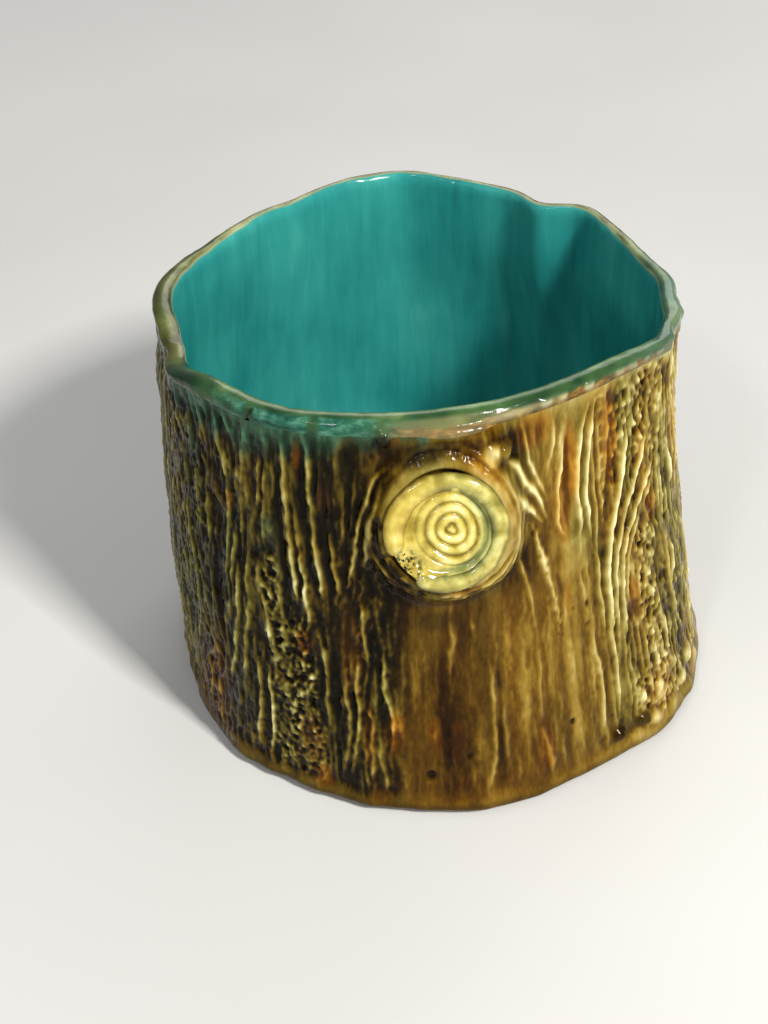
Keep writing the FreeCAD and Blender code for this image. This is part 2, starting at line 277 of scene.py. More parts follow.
class Relief:
    """Height of the bark over its grid, in millimetres. Cords are laid on it, grooves and pits cut in it."""

    def __init__(self, base):
        self.level = base

    def near(self, across, up, reach):
        """Blocks of the grid near a span of places, once for each side of the seam.

        Each comes with its distances across and up from the first place.
        """
        for shift in (-round_mm, 0, round_mm):
            i0, i1 = np.searchsorted(arcs, (min(across) - reach + shift, max(across) + reach + shift))
            j0, j1 = np.searchsorted(heights, (min(up) - reach, max(up) + reach))
            if i1 > i0 and j1 > j0:
                block = slice(j0, j1), slice(i0, i1)
                yield block, arcs[None, i0:i1] - across[0] - shift, heights[j0:j1, None] - up[0]

    def stretch(self, start, end, radii, levels, fall, cut, soft):
        """One straight stretch of a ridge, or of a groove where cut is true. A soft ridge has a round top."""
        (a0, u0), (a1, u1) = start, end
        la, lu = a1 - a0, u1 - u0
        for block, da, du in self.near((a0, a1), (u0, u1), max(radii)):
            along = np.clip((da * la + du * lu) / max(la * la + lu * lu, 1e-6), 0, 1)
            share = np.clip(np.hypot(da - along * la, du - along * lu) / mixed(*radii, along), 0, 1)
            crest = mixed(*levels, along)
            before = self.level[block]
            if cut:
                shaped = np.minimum(before, crest + fall * share**2)
            else:
                cone = (np.sqrt(share**2 + 0.02) - cone_foot) / cone_span
                sharp = 1 - (1 - cone) ** 1.5
                round_top = 0.5 - 0.5 * np.cos(np.pi * share)
                shaped = np.maximum(before, crest - fall * mixed(sharp, round_top, soft))
            self.level[block] = np.where(share < 1, shaped, before)

    def cord(self, points, width, level, fall=2.6, taper=0.35, wobble=0, rough=0, seed=0, cut=False):
        """Ridge along places in (degrees, rise), thinner and lower at its ends."""
        draw = np.random.default_rng(seed).uniform
        path = np.array([place_of(*p) for p in points])
        length = np.concatenate([[0], np.cumsum(np.hypot(*np.diff(path, axis=0).T))])
        count = max(3, int(length[-1] / stretch_length) + 1)
        at = np.linspace(0, length[-1], count)
        across, up = (rounded_path(at, length, values) for values in path.T)
        across = across + wobble * draw(-1, 1, count)
        ends = np.minimum(at, length[-1] - at) / max(end_widths * width, 1)
        slim = mixed(taper, 1, smooth(0, 1, ends))
        radii = 0.5 * width * slim * (1 + rough * draw(-1, 1, count))
        sink = (1 - slim) * (-end_sink if cut else end_sink)
        levels = level - sink + 0.5 * rough * draw(-1, 1, count)
        soft = float(smooth(4.5, 9, width))
        spots = list(zip(across, up))
        for k in range(count - 1):
            self.stretch(spots[k], spots[k + 1], radii[k:k + 2], levels[k:k + 2], fall, cut, soft)

    def bead(self, angle, rise, across, up, crest, fall=1.7):
        """Rounded crumb of clay, with its half width across and up."""
        a, u = place_of(angle, rise)
        for block, da, du in self.near((a,), (u,), max(across, up)):
            share = np.clip((da / across) ** 2 + (du / up) ** 2, 0, 1)
            before = self.level[block]
            self.level[block] = np.where(share < 1, np.maximum(before, crest - fall * share), before)

    def pit(self, angle, rise, radius, depth, lip=0):
        """Round pit with a raised lip."""
        a, u = place_of(angle, rise)
        for block, da, du in self.near((a,), (u,), 2.2 * radius):
            far = np.hypot(da, du) / radius
            self.level[block] += lip * hump(far, 1.15, 0.35) - depth * hump(far, 0, 1, 4)


def rounded_path(at, length, values):
    """Values along a path, linear between its points and then smoothed."""
    line = np.interp(at, length, values)
    for _ in range(2):
        line[1:-1] = 0.25 * line[:-2] + 0.5 * line[1:-1] + 0.25 * line[2:]
    return line


# The bark's own forms. A ridge is a row: its width and its crest over the trunk's outline in millimetres,
# then its places as pairs of a direction in degrees and a height in thousandths of rim_height.

bold_cords = [
    (4.2, -0.1, 213.1, 707, 213.7, 665, 214.4, 624, 214.6, 579, 216.1, 542, 217, 500, 217.1, 440, 217.7, 382,
     219.8, 334, 222.7, 306, 225.2, 261),
    (4, -0.3, 218.7, 791, 219.8, 748, 219.8, 720),
    (4.2, -0.1, 215.9, 691, 218.2, 666, 220, 649, 222, 645),
    (4.6, -0.2, 207.6, 520, 209.4, 487, 211, 462, 211.6, 420),
    (4, -0.4, 220, 1002, 220.3, 942, 221.7, 897, 223.1, 831),
    (5, -0.1, 225.5, 971, 226, 918, 227, 860, 228.1, 793),
    (4, -0.3, 228.2, 978, 229.4, 933, 231, 897),
    (4.4, 0, 228.4, 773, 228.4, 708, 227.7, 627, 227.4, 545, 227.7, 489, 228.3, 433),
    (4.4, 0.1, 229.9, 726, 229.8, 660, 229.1, 584, 228.6, 518),
    (4.2, -0.2, 233.1, 847, 233.2, 795, 233.6, 754),
    (5.6, 0, 230.6, 620, 230.6, 564, 230, 514, 230.2, 445, 228.8, 344, 226.3, 231),
    (5, -0.2, 233.7, 663, 233.1, 576, 232.8, 459, 231.8, 363, 230, 258),
    (5.4, -0.3, 220.8, 699, 222.4, 658, 221.2, 594),
    (5.2, -0.4, 221.6, 508, 223.4, 461, 224.1, 373, 225.5, 289),
    (5.6, 0, 205.8, 353, 206.7, 295, 207.3, 232, 209.7, 150, 211.8, 100),
    (6.4, 0.3, 200.1, 363, 201.4, 310, 203.4, 240),
    (4.6, -0.2, 216.2, 438, 215.9, 373, 213, 263, 214.4, 194),
    (5, -0.3, 219.9, 277, 219.9, 210, 217.9, 117),
    (3.7, -0.6, 232.4, 842, 232.6, 763),
    (3.5, 0, 234.8, 363, 234.9, 275, 234.5, 197, 233.8, 128, 233.6, 89),
    (3.7, -0.1, 237, 353, 237.6, 266, 237.4, 188, 237, 120, 236.8, 81),
    (3.5, -0.3, 235.2, 636, 236.4, 548, 237.4, 470, 237.8, 402),
    (3.1, -0.2, 236.8, 901, 236.2, 822, 235.8, 754),
    (3.7, -0.2, 238, 901, 237.8, 822, 237.4, 763, 237.2, 675),
    (3, -0.6, 240, 911, 239.8, 842, 239.4, 783),
    (6.3, 0, 242.2, 970, 242.4, 881, 242.6, 803, 243.2, 705, 243.8, 626, 244.4, 548),
    (4.4, -0.1, 244.2, 832, 244.6, 744, 245.4, 675, 246.2, 607, 246.4, 499),
    (4.1, 0, 247, 970, 247.6, 871, 248.1, 783, 248.4, 714, 249.2, 665, 249.6, 568),
    (3.7, -0.7, 249.8, 911, 251, 862),
    (4.8, -0.4, 251.2, 754, 252, 675, 252.6, 616, 252.6, 548),
    (3.3, -0.9, 254.4, 871, 254, 783, 253.8, 705),
    (4.8, 0.4, 263.4, 906, 260.2, 886, 258.6, 842, 257.6, 793, 256.8, 734, 255.6, 675, 254.4, 616),
    (4.4, 0.6, 261.6, 862, 260.2, 822, 259.4, 783, 258.8, 734, 258.2, 675),
    (3.1, -0.2, 257.4, 587, 257.5, 509, 258, 451, 258.6, 402),
    (4.8, -0.1, 248.6, 480, 249.6, 421, 250.3, 382, 249.6, 353),
    (5.6, -0.3, 249.8, 382, 250.2, 295, 250.4, 207),
    (4.8, 0, 253.7, 402, 253.6, 334, 254.4, 275, 254.4, 207, 253.6, 149, 252.8, 110),
    (4.3, -0.1, 256, 441, 255.8, 363, 256.3, 295, 256.2, 227, 255.6, 168, 254.6, 110),
    (3.1, -0.3, 252, 154, 250.6, 115),
    (4.1, -0.5, 258.4, 324, 258.8, 217, 258.9, 120, 259, 81),
    (4.1, -0.2, 261, 412, 260.6, 353, 261.6, 324, 262.6, 295, 262.6, 207),
    (3, -0.5, 263.4, 353, 263.8, 275, 264.4, 217),
    (16, -0.9, 279.3, 403, 278.8, 265, 278.8, 158, 278.2, 63),
    (5, -0.2, 280.7, 434, 281.8, 380, 281.7, 302, 281.8, 231, 281.3, 152, 280.6, 68),
    (9, -0.8, 266.5, 424, 266.7, 363, 266.6, 296),
    (4.6, -0.4, 259.9, 242, 260.5, 159, 261.2, 84, 262.3, 36),
    (5, -0.3, 261, 476, 261.4, 406, 261.4, 343, 262.6, 317),
    (4, -0.8, 264.3, 300, 264.6, 228),
    (6, -0.9, 270.6, 299, 270.8, 228, 270.6, 164),
    (4, -0.5, 276.1, 273, 276.4, 233, 276.6, 197),
    (4, -0.7, 272.4, 325, 272, 272),
    (6, -0.7, 283.6, 349, 283.8, 252, 283.9, 181, 284.2, 107),
    (5, -0.8, 285.5, 184, 286.1, 100, 286.6, 61),
    (14, -1, 287.9, 481, 288.4, 367, 288.1, 236, 288.9, 142),
    (6, -0.8, 291.8, 405, 291.1, 312, 290.8, 224),
    (8, -0.4, 291.4, 204, 292.4, 143, 293.1, 66, 293.9, 18),
    (4.4, -0.5, 295.8, 289, 296, 206),
    (6, -0.3, 303.6, 435, 304.3, 378, 305, 311, 305.6, 234, 305, 96),
    (5, -0.4, 308.7, 434, 309.3, 349, 309.5, 247, 309, 138),
    (9, -0.5, 295.5, 162, 295.6, 106, 296.2, 60),
    (9, -0.5, 299.4, 158, 300.3, 96, 300.7, 65),
    (6.5, -0.6, 273.7, 569, 274.3, 498, 273.9, 428, 274, 359),
    (7, -0.8, 278.1, 579, 278.1, 501, 279.1, 447),
    (10, -0.9, 284.6, 544, 285.1, 465, 285.4, 378),
    (6, -0.5, 288.9, 572, 289.2, 528, 288.5, 496),
    (12, -1, 268.7, 128, 268.9, 53),
    (10, -1, 273, 145, 273.1, 53),
    (5, -0.7, 277, 179, 277.4, 115, 277.5, 51),
    (4.4, -0.2, 289.9, 979, 290.4, 925, 291.7, 867, 293.9, 811, 295.5, 770),
    (5.4, 0.4, 284.8, 906, 288.4, 872, 291.5, 814, 294, 762, 294.9, 729),
    (5, 0.3, 285.7, 847, 288.7, 810, 291.3, 762, 293.8, 723),
    (7, -0.3, 297, 970, 297.7, 899, 296.4, 856, 295.5, 822),
    (5, -0.3, 299.4, 961, 299.8, 925, 298.6, 862, 297.2, 818),
    (6, -0.1, 300.8, 942, 299.4, 858, 298.3, 793, 297.6, 725, 298.3, 681, 300, 651),
    (6.5, 0, 306.8, 941, 304.3, 874, 303, 809, 302.8, 738, 303.7, 683, 303.2, 648, 300.8, 646),
    (6, 0, 309, 946, 307.1, 883, 305.9, 818, 305.2, 741, 305.7, 688, 306.2, 633),
    (5, -0.1, 310.4, 933, 309.8, 879),
    (6.5, 0.1, 318.5, 853, 316.8, 781, 314.8, 717, 312.5, 654, 311.1, 601, 309.9, 547, 309.6, 486,
     309.7, 407, 310, 348),
    (5.4, -0.1, 326.1, 821, 322.5, 750, 318.9, 695, 315.5, 638, 313.2, 574, 311.6, 506, 311.4, 429,
     311.1, 342),
    (5, -0.2, 328.7, 730, 324.6, 693, 320.6, 647, 317, 607, 314.5, 551, 313.1, 482, 313.2, 411, 312.9, 330),
    (4.6, -0.4, 323, 648, 318.7, 589, 315.9, 536, 314.6, 473, 314.6, 393),
    (6, -0.2, 328.1, 695, 324.5, 655, 322.7, 623),
    (6, -0.2, 333.5, 579, 330.3, 545, 328, 537),
    (5, -0.2, 331.3, 513, 331.4, 420, 329.2, 354, 330.9, 271, 333.6, 192),
    (5, -0.3, 337.7, 505, 343.9, 372, 343.6, 276, 343.6, 198),
    (5, -0.3, 330.8, 794, 334.4, 677, 335.5, 589),
    (5.4, -0.3, 301.9, 587, 302.9, 521, 303.2, 458, 303, 387),
    (5, -0.4, 306.7, 609, 307.5, 559, 307.3, 499, 307.4, 420, 307.4, 364),
    (7, -0.4, 298.6, 542, 298, 484, 298, 413),
    (5, -0.3, 287.7, 672, 289.2, 606, 290.6, 540, 291.3, 469),
]
# Rough ridges of torn clay, in the same form
torn_cords = [
    (5.6, 0.1, 291.2, 734, 292.3, 690, 293.5, 637, 295, 566, 296.2, 485, 296.9, 419),
    (6, 0, 319.2, 970, 318.6, 885, 318.5, 853),
    (4.4, -0.2, 212, 710, 212.2, 620, 212.8, 550, 213.6, 520),
    (4, -0.2, 218, 810, 217.8, 770, 218.8, 740, 218, 710, 219.4, 670, 220.8, 640),
]
# Dark gaps between the ridges, in the same form, but with the gap's bottom as the second value
dark_gaps = [
    (7, -3.6, 223.6, 620, 223.8, 500, 224.4, 401, 224.2, 281),
    (3, -3.4, 250.2, 931, 250.6, 803, 250.6, 685, 251, 587),
    (3, -3.4, 240.8, 881, 241, 763, 241.4, 646, 242, 568),
    (2.4, -3, 245.9, 921, 246.2, 822, 246.9, 705, 247.9, 607),
    (3, -2, 263, 607, 262.8, 509, 262.6, 431),
    (2, -2.6, 252.2, 490, 252, 392, 251.8, 275, 251.8, 159),
    (3.4, -2.9, 283, 415, 283.2, 359, 283.1, 307),
    (2.8, -2.9, 268.2, 415, 268.2, 353, 268, 287),
    (4.5, -2.3, 269, 273, 269.3, 210, 269.5, 155),
    (3.6, -2.2, 273, 254, 273.6, 209, 273.8, 163),
    (3.6, -2.5, 274.8, 261, 274.9, 217, 275.3, 162),
    (3, -2.3, 282.6, 273, 282.8, 193, 282.7, 112),
    (2.6, -2.4, 285.2, 335, 285.5, 246, 285.9, 173),
    (3, -2.4, 289, 215, 289.6, 139, 290.9, 59),
    (3, -2.6, 293.3, 147, 294.1, 64, 295.7, 49),
    (3, -2.6, 298.2, 146, 298.6, 88, 299.1, 65),
    (3, -2.8, 305.4, 407, 306.2, 322, 306.7, 227, 306.3, 116),
    (3, -2.4, 299.3, 482, 300, 355, 300.4, 236, 301, 139),
    (6, -2.9, 302, 924, 301.2, 865, 300.4, 798, 300.2, 728, 300.4, 668),
    (4, -2.6, 293.1, 969, 293.5, 915, 294.6, 857),
    (5, -2.8, 313.8, 897, 312.9, 815, 311.6, 733, 310.2, 666, 309.3, 611),
    (3.4, -2.8, 319.3, 827, 317.6, 762, 315.6, 698, 313.2, 635, 311.8, 582),
    (3.4, -2.6, 296.2, 613, 297.3, 548, 298, 484),
    (3.4, -2.6, 305.9, 628, 306.5, 564, 306.2, 497, 306.1, 427),
    (4, -2.8, 327.1, 655, 326, 614, 325, 581),
    (3.4, -2.8, 309.3, 618, 308.8, 552, 308.6, 492, 308.5, 414, 308.7, 356),
]
# Pits: direction, rise, radius, depth, raised lip
pits = [
    (269.7, 0.12, 2.6, 1.7, 0.2), (276.9, 0.173, 1.3, 1.2, 0.2), (298.1, 0.183, 1.4, 1.5, 0.2),
    (303.4, 0.475, 1.6, 1.1, 0.1), (303, 0.421, 1.2, 1.1, 0.1), (320.4, 0.538, 2.2, 2, 0.7),
    (323.2, 0.506, 1.8, 1.8, 0.6), (319.8, 0.45, 1.8, 1.8, 0.6), (322, 0.375, 1.6, 1.6, 0.6),
    (331.4, 0.62, 2.4, 2, 0.4), (330.8, 0.545, 2, 1.8, 0.4), (244.6, 0.348, 2.4, 1.8, 0.5),
]
# Round nubs of clay: direction, rise, half width and half height in millimetres, crest
nubs = [
    (286, 0.9145, 4.2, 4.2, 1.9), (308.5, 0.086, 4.2, 4.2, 1.9), (314.5, 0.09, 4.2, 4.2, 1.9),
]
# Smooth lumps of clay at the foot and beside the branch: the same values
lumps = [
    (312.4, 0.052, 5, 4, -0.3), (318, 0.07, 6, 4.5, -0.1), (324, 0.055, 5, 5, -0.2),
    (329.4, 0.085, 6, 4.4, 0), (320.6, 0.135, 4.6, 6, -0.4), (327, 0.155, 4.4, 5, -0.4),
    (334.2, 0.115, 6, 6, -0.2), (315.2, 0.15, 3.8, 6, -0.6), (339, 0.06, 6, 5, -0.2),
    (226, 0.06, 6, 4, -0.9), (233, 0.05, 5, 4, -0.9), (240, 0.045, 6, 4, -1), (247, 0.05, 5, 4, -1.1),
    (282.6, 0.915, 8, 4.6, 0.4), (279.6, 0.905, 5, 3.6, 0), (266, 0.9, 6, 3.4, -0.4),
]
lip_crack = 235                            # direction of the crack in the lip
dark_nub_direction = 262.3
dark_nub_height = 195.6

# Stains in the bark's glaze: direction, rise, half width in degrees, half height, strength
glaze_stains = {
    "amber": [
        (245.2, 0.926, 1, 0.06, 1), (250.6, 0.827, 1.6, 0.035, 0.9), (228.6, 0.757, 1.6, 0.03, 0.7),
        (245.6, 0.451, 2.4, 0.04, 0.8), (248.8, 0.081, 2.4, 0.045, 1), (263.2, 0.236, 2.4, 0.075, 1),
        (270.6, 0.232, 1.8, 0.06, 0.9), (274.6, 0.217, 1.8, 0.07, 1), (258.2, 0.217, 1.4, 0.12, 0.7),
        (292, 0.139, 2.6, 0.09, 0.8), (299, 0.744, 2.6, 0.11, 0.9), (301.6, 0.832, 2.6, 0.11, 1),
        (312.8, 0.842, 3.2, 0.13, 0.9), (316.6, 0.421, 1.8, 0.06, 0.9), (299.2, 0.509, 1.2, 0.06, 0.7),
        (325.2, 0.613, 2.2, 0.06, 0.8), (279, 0.314, 14, 0.18, 0.35), (303, 0.314, 10, 0.26, 0.35),
        (292.5, 0.931, 6, 0.05, 0.8), (320.5, 0.138, 7, 0.09, 0.5), (280, 0.081, 20, 0.06, 0.5),
        (246.6, 0.178, 3.6, 0.09, 0.5),
    ],
    "dark": [
        (274.8, 0.198, 1, 0.05, 0.5), (264.6, 0.198, 1, 0.05, 0.4), (271.5, 0.533, 5, 0.03, 0.5),
        (250.4, 0.852, 1.4, 0.06, 0.5), (240.8, 0.705, 1.4, 0.13, 0.6), (269.7, 0.12, 0.9, 0.012, 0.9),
        (298.1, 0.183, 0.5, 0.01, 0.9), (303.4, 0.475, 0.6, 0.01, 0.7), (223.8, 0.46, 1.2, 0.14, 0.6),
        (268, 0.931, 7, 0.022, 0.6), (319.2, 0.217, 1.4, 0.05, 0.4),
    ],
}


def places(pairs):
    """Places in (degrees, rise) from a flat row with its rises in thousandths."""
    return [(angle, rise / 1000) for angle, rise in zip(pairs[::2], pairs[1::2])]


def ridged(across_cell, up_cell, seed):
    """Field of low ridges, from 0 in the valleys to 1 on the crests."""
    push = 0.5 * across_cell * grain(2.5 * across_cell, 0.8 * up_cell, seed + 1)
    return np.clip(1 - 2.4 * np.abs(cloud(ARC + push, HEIGHT, across_cell, up_cell, seed)), 0, 1) ** 1.3


def base_level():
    """Floor of the bark between its ridges: deep where it is ridged, shallow where the clay is smooth."""
    level = -2.9 + 0.5 * grain(26, 60, 11)
    level += 1.2 * ridged(5.5, 50, 16) + 0.7 * ridged(3.4, 26, 18)
    flute = 0.6 * grain(9, 90, 12) + 0.3 * grain(4, 50, 13)
    panel = band(ANGLE, 262, 266, 306, 311) * smooth(0.66, 0.56, RISE)
    upper = band(ANGLE, 288, 292, 310, 314) * smooth(0.56, 0.66, RISE)
    calm = band(ANGLE, 297, 299.5, 304, 306) * band(RISE, 0.54, 0.58, 0.64, 0.67)
    branch_side = hump(ANGLE, 269, 9) * smooth(0.70, 0.82, RISE)
    zones = ((panel, -2.1, 1), (upper, -2, 0.8), (calm, -1.2, 0.2), (branch_side, -1.2, 0.3))
    for share, floor, depth in zones:
        level = mixed(level, floor + depth * flute, share)
    return level


def fill(relief, zone, spacing, length, width, crest, wander, seed, rough=0.1, lean=0):
    """Cords that fill a zone (from, to, low, high), side by side and one above the other."""
    chance = np.random.default_rng(seed)
    draw = chance.uniform
    start, end, low, high = zone
    count = max(1, int(math.radians(end - start) * bark_radius / spacing))
    shift = math.degrees(wander / bark_radius)
    for k in range(count):
        angle = start + (end - start) * (k + draw(0.2, 0.8)) / count
        rise = high - draw(0, 0.06)
        while rise > low:
            bottom = max(rise - draw(*length) / rim_height, low - 0.01)
            slip = math.degrees(lean * (rise - bottom) * rim_height / bark_radius)
            points = [
                (angle - share * slip + draw(-shift, shift), mixed(rise, bottom, share))
                for share in (0, 0.5, 1)
            ]
            relief.cord(
                points, draw(*width), draw(*crest), rough=rough, wobble=0.3 * wander,
                seed=int(chance.integers(1 << 30)),
            )
            angle -= 0.3 * slip
            rise = bottom - draw(0, 0.03)


def crumble(relief, zone, count, length, width, crest, upright, seed):
    """Short worms of clay scattered over a zone. Upright is how far they keep to the grain, from 0 to 1."""
    chance = np.random.default_rng(seed)
    draw = chance.uniform
    start, end, low, high = zone
    for _ in range(count):
        angle, rise = draw(start, end), draw(low, high)
        heading = math.pi / 2 + (1 - upright) * draw(-math.pi / 2, math.pi / 2)
        points = [(angle, rise)]
        for _ in range(3):
            step = draw(*length) / 3
            heading += draw(-0.6, 0.6)
            angle += math.degrees(step * math.cos(heading) / bark_radius)
            rise += step * math.sin(heading) / rim_height
            points.append((angle, rise))
        relief.cord(
            points, draw(*width), draw(*crest), taper=0.6, rough=0.15,
            seed=int(chance.integers(1 << 30)),
        )


def scatter_beads(relief, zone, spacing, size, crest, stand, seed):
    """Crumbs of clay packed over a zone. Stand is how much taller than wide they are."""
    draw = np.random.default_rng(seed).uniform
    start, end, low, high = zone
    step = math.degrees(spacing / bark_radius)
    lift = spacing * stand / rim_height
    for i, angle in enumerate(np.arange(start, end, step)):
        for rise in np.arange(low + (i % 2) * 0.5 * lift, high, lift):
            wide = draw(*size)
            relief.bead(
                angle + 0.45 * step * draw(-1, 1), rise + 0.45 * lift * draw(-1, 1),
                wide, wide * stand * draw(0.8, 1.2), draw(*crest),
            )


def pock(relief, zone, count, radius, depth, seed):
    """Small pits scattered over a zone."""
    draw = np.random.default_rng(seed).uniform
    start, end, low, high = zone
    for _ in range(count):
        size = draw(*radius)
        relief.pit(draw(start, end), draw(low, high), size, draw(*depth), 0.35 * size)


def lay_left_bark(relief):
    """Chopped ridges at the far left, then long ridges up to the branch."""
    fill(relief, (196, 223, 0.03, 0.97), 2.7, (12, 34), (3.2, 5), (-1.6, -0.3), 1.5, 21, rough=0.24)
    crumble(relief, (198, 222.5, 0.25, 0.90), 230, (5, 12), (2.4, 3.8), (-1, 0), 0.62, 22)
    crumble(relief, (198, 223, 0.03, 0.28), 80, (6, 14), (2.6, 4.2), (-1.1, -0.1), 0.75, 23)
    fill(relief, (222, 236, 0.06, 0.97), 2.7, (24, 70), (3, 4.8), (-1.9, -0.7), 0.9, 24, rough=0.12)
    fill(relief, (235, 257, 0.48, 0.97), 2.8, (24, 60), (2.8, 4.2), (-2.3, -1.2), 0.6, 25, lean=0.08)
    fill(relief, (247, 263, 0.05, 0.47), 2.7, (20, 60), (3, 4.6), (-2, -0.7), 0.7, 26)
    crumble(relief, (222, 250, 0.035, 0.13), 60, (5, 11), (2.4, 3.8), (-1.4, -0.5), 0.75, 27)
    crumble(relief, (226, 233, 0.74, 0.84), 18, (4, 8), (2, 3.2), (-1, -0.4), 0.5, 28)


def lay_crumbled_patch(relief):
    """Pitted patch left of the smooth panel, wider towards the ground."""
    zones = (
        (236.4, 240.6, 0.50, 0.65), (237, 246, 0.37, 0.50),
        (239, 248.6, 0.24, 0.37), (239.4, 249.5, 0.07, 0.24),
    )
    for zone in zones:
        start, end, low, high = zone
        seed, count = int(low * 1000), int(5 * (end - start))
        scatter_beads(relief, zone, 2, (0.9, 1.6), (-2.6, -0.5), 1.2, seed)
        crumble(relief, zone, count, (2.5, 6.5), (1.6, 2.8), (-1.2, 0), 0.5, seed + 1)
        pock(relief, zone, count // 2, (0.9, 1.7), (0.9, 1.8), int(high * 1000))


def lay_branch_bark(relief):
    """Scratched bark left of the branch and below it."""
    fill(relief, (255.4, 262.4, 0.36, 0.72), 2.4, (8, 22), (2.2, 3.4), (-1.9, -0.9), 0.9, 31, rough=0.2)
    crumble(relief, (255.8, 262, 0.38, 0.68), 30, (3, 8), (1.6, 2.4), (-1.2, -0.5), 0.7, 34)
    fill(relief, (264, 282, 0.05, 0.50), 4.6, (24, 60), (1.8, 3), (-1.7, -1.1), 0.6, 35)
    fill(relief, (282, 309, 0.05, 0.58), 3.8, (24, 70), (1.8, 3.2), (-1.6, -0.9), 0.6, 36)


def lay_right_bark(relief):
    """Ladder of beads, pitted ridge and fan of strands right of the branch."""
    fill(relief, (301, 331, 0.04, 0.97), 3.4, (30, 80), (3.6, 5.6), (-2, -0.9), 0.7, 47, rough=0.06)
    for rise in (0.945, 0.915, 0.885, 0.850, 0.815, 0.780, 0.745, 0.705):
        rung = [(308.8, rise - 0.012), (309.3, rise + 0.010), (310.6, rise + 0.004), (312.4, rise - 0.010)]
        relief.cord(rung, 3, -0.4, taper=0.5, seed=int(rise * 1000))
    scatter_beads(relief, (310.5, 316.5, 0.66, 0.95), 2.8, (1.1, 1.9), (-2.6, -1), 1.3, 41)
    crumble(relief, (302, 316, 0.06, 0.52), 70, (3, 9), (1.6, 2.6), (-1.7, -0.8), 0.85, 48)
    pock(relief, (300, 318, 0.05, 0.60), 50, (0.6, 1.1), (0.5, 1.1), 49)
    scatter_beads(relief, (316.5, 331, 0.76, 0.965), 2.4, (1.1, 1.9), (-2.2, -0.2), 1.4, 42)
    pock(relief, (316, 331, 0.76, 0.96), 60, (0.8, 1.5), (0.8, 1.7), 43)
    fill(relief, (326, 340, 0.55, 0.96), 3, (24, 60), (3.2, 4.8), (-1.4, -0.4), 1, 44, rough=0.2)
    fill(relief, (311, 330, 0.04, 0.62), 3.2, (24, 60), (3.4, 4.8), (-1.8, -0.8), 0.9, 45, lean=-0.12)
    for zone in ((318.6, 324.6, 0.40, 0.57), (318.6, 324.4, 0.24, 0.40), (313.6, 327, 0.03, 0.22)):
        seed = int(1000 * zone[2]) + 7
        scatter_beads(relief, zone, 2.2, (0.9, 1.7), (-2.3, -0.2), 1.3, seed)
        pock(relief, zone, int(4 * (zone[1] - zone[0])), (0.8, 1.6), (0.8, 1.8), seed + 1)
    crumble(relief, (326, 340, 0.05, 0.55), 90, (4, 10), (2.6, 4), (-1.3, -0.1), 0.7, 46)


# Bark on the side that the photograph hides: the direction at which each stretch ends, and its kind
back_from = 340
back_bark = [
    (352, "ridges"), (366, "worms"), (378, "long"), (392, "panel"), (404, "ridges"), (420, "crumbs"),
    (436, "long"), (450, "worms"), (464, "ridges"), (480, "panel"), (494, "crumbs"), (508, "long"),
    (522, "worms"), (538, "ridges"), (556, "long"),
]
# Spacing, length, width, crest, wander, roughness and lean of the cords of each kind
back_cords = {
    "ridges": (2.8, (24, 60), (3.6, 5.4), (-1.7, -0.1), 1, 0.15, 0.10),
    "long": (3.4, (60, 130), (4, 6.4), (-1.8, -0.1), 0.8, 0.08, 0.06),
    "panel": (6, (50, 110), (7, 11), (-1.5, -0.5), 1, 0.05, 0),
    "worms": (3, (16, 40), (3.2, 4.8), (-1.9, -0.8), 1.2, 0.2, 0),
}


def lay_back_bark(relief):
    """Ridges, worms and smooth panels in turn."""
    start = back_from
    for k, (end, kind) in enumerate(back_bark):
        zone = (start, end, 0.04, 0.97)
        seed = 60 + 10 * k
        spacing, length, width, crest, wander, rough, lean = back_cords.get(kind, back_cords["worms"])
        fill(relief, zone, spacing, length, width, crest, wander, seed, rough, lean * (-1) ** k)
        if kind == "crumbs":
            scatter_beads(relief, (start + 3, end - 3, 0.1, 0.8), 2.2, (1, 1.7), (-2.4, -0.3), 1.3, seed + 3)
        if kind in ("worms", "crumbs"):
            count = 4 * (end - start)
            crumble(relief, zone, count, (5, 12), (2.4, 3.8), (-1, 0), 0.65, seed + 1)
            pock(relief, zone, count // 3, (0.9, 1.7), (0.8, 1.6), seed + 2)
        start = end


def lay_torn_cord(relief, width, level, path, number):
    """Rough ridge with small pits along it."""
    relief.cord(path, width, level, wobble=0.5, rough=0.35, seed=400 + number)
    draw = np.random.default_rng(450 + number).uniform
    angles, rises = zip(*path)
    at = np.linspace(0, 1, len(path))
    for share in np.linspace(0, 1, 6 * len(path)):
        angle = np.interp(share, at, angles) + draw(-0.5, 0.5)
        rise = np.interp(share, at, rises)
        relief.pit(angle, rise, draw(0.6, 1.1), draw(0.6, 1.3), 0.2)


def lay_bark():
    """Relief of the whole bark, before the branch's collar is raised."""
    relief = Relief(base_level())
    lay_back_bark(relief)
    lay_left_bark(relief)
    lay_right_bark(relief)
    lay_branch_bark(relief)
    for k, (width, level, *pairs) in enumerate(dark_gaps):
        relief.cord(places(pairs), width, level, fall=1.6, seed=300 + k, cut=True)
    lay_crumbled_patch(relief)
    for k, (width, level, *pairs) in enumerate(torn_cords):
        lay_torn_cord(relief, width, level, places(pairs), k)
    for k, (width, level, *pairs) in enumerate(bold_cords):
        relief.cord(places(pairs), width, level, wobble=0.30, rough=0.26, seed=500 + k)
    for pit in pits:
        relief.pit(*pit)
    for lump in lumps:
        relief.bead(*lump, fall=2.2)
    for nub in nubs:
        relief.bead(*nub, fall=nub[-1] + 2.2)
    return wandered(relief.level)


def wandered(level):
    """Relief with its lines pushed a little to the left and right, so that none runs straight."""
    push = 0.75 * grain(7, 9, 14) + 0.35 * grain(3, 4, 15)
    return np.array([np.interp(arcs + push[k], arcs, level[k]) for k in range(len(level))])


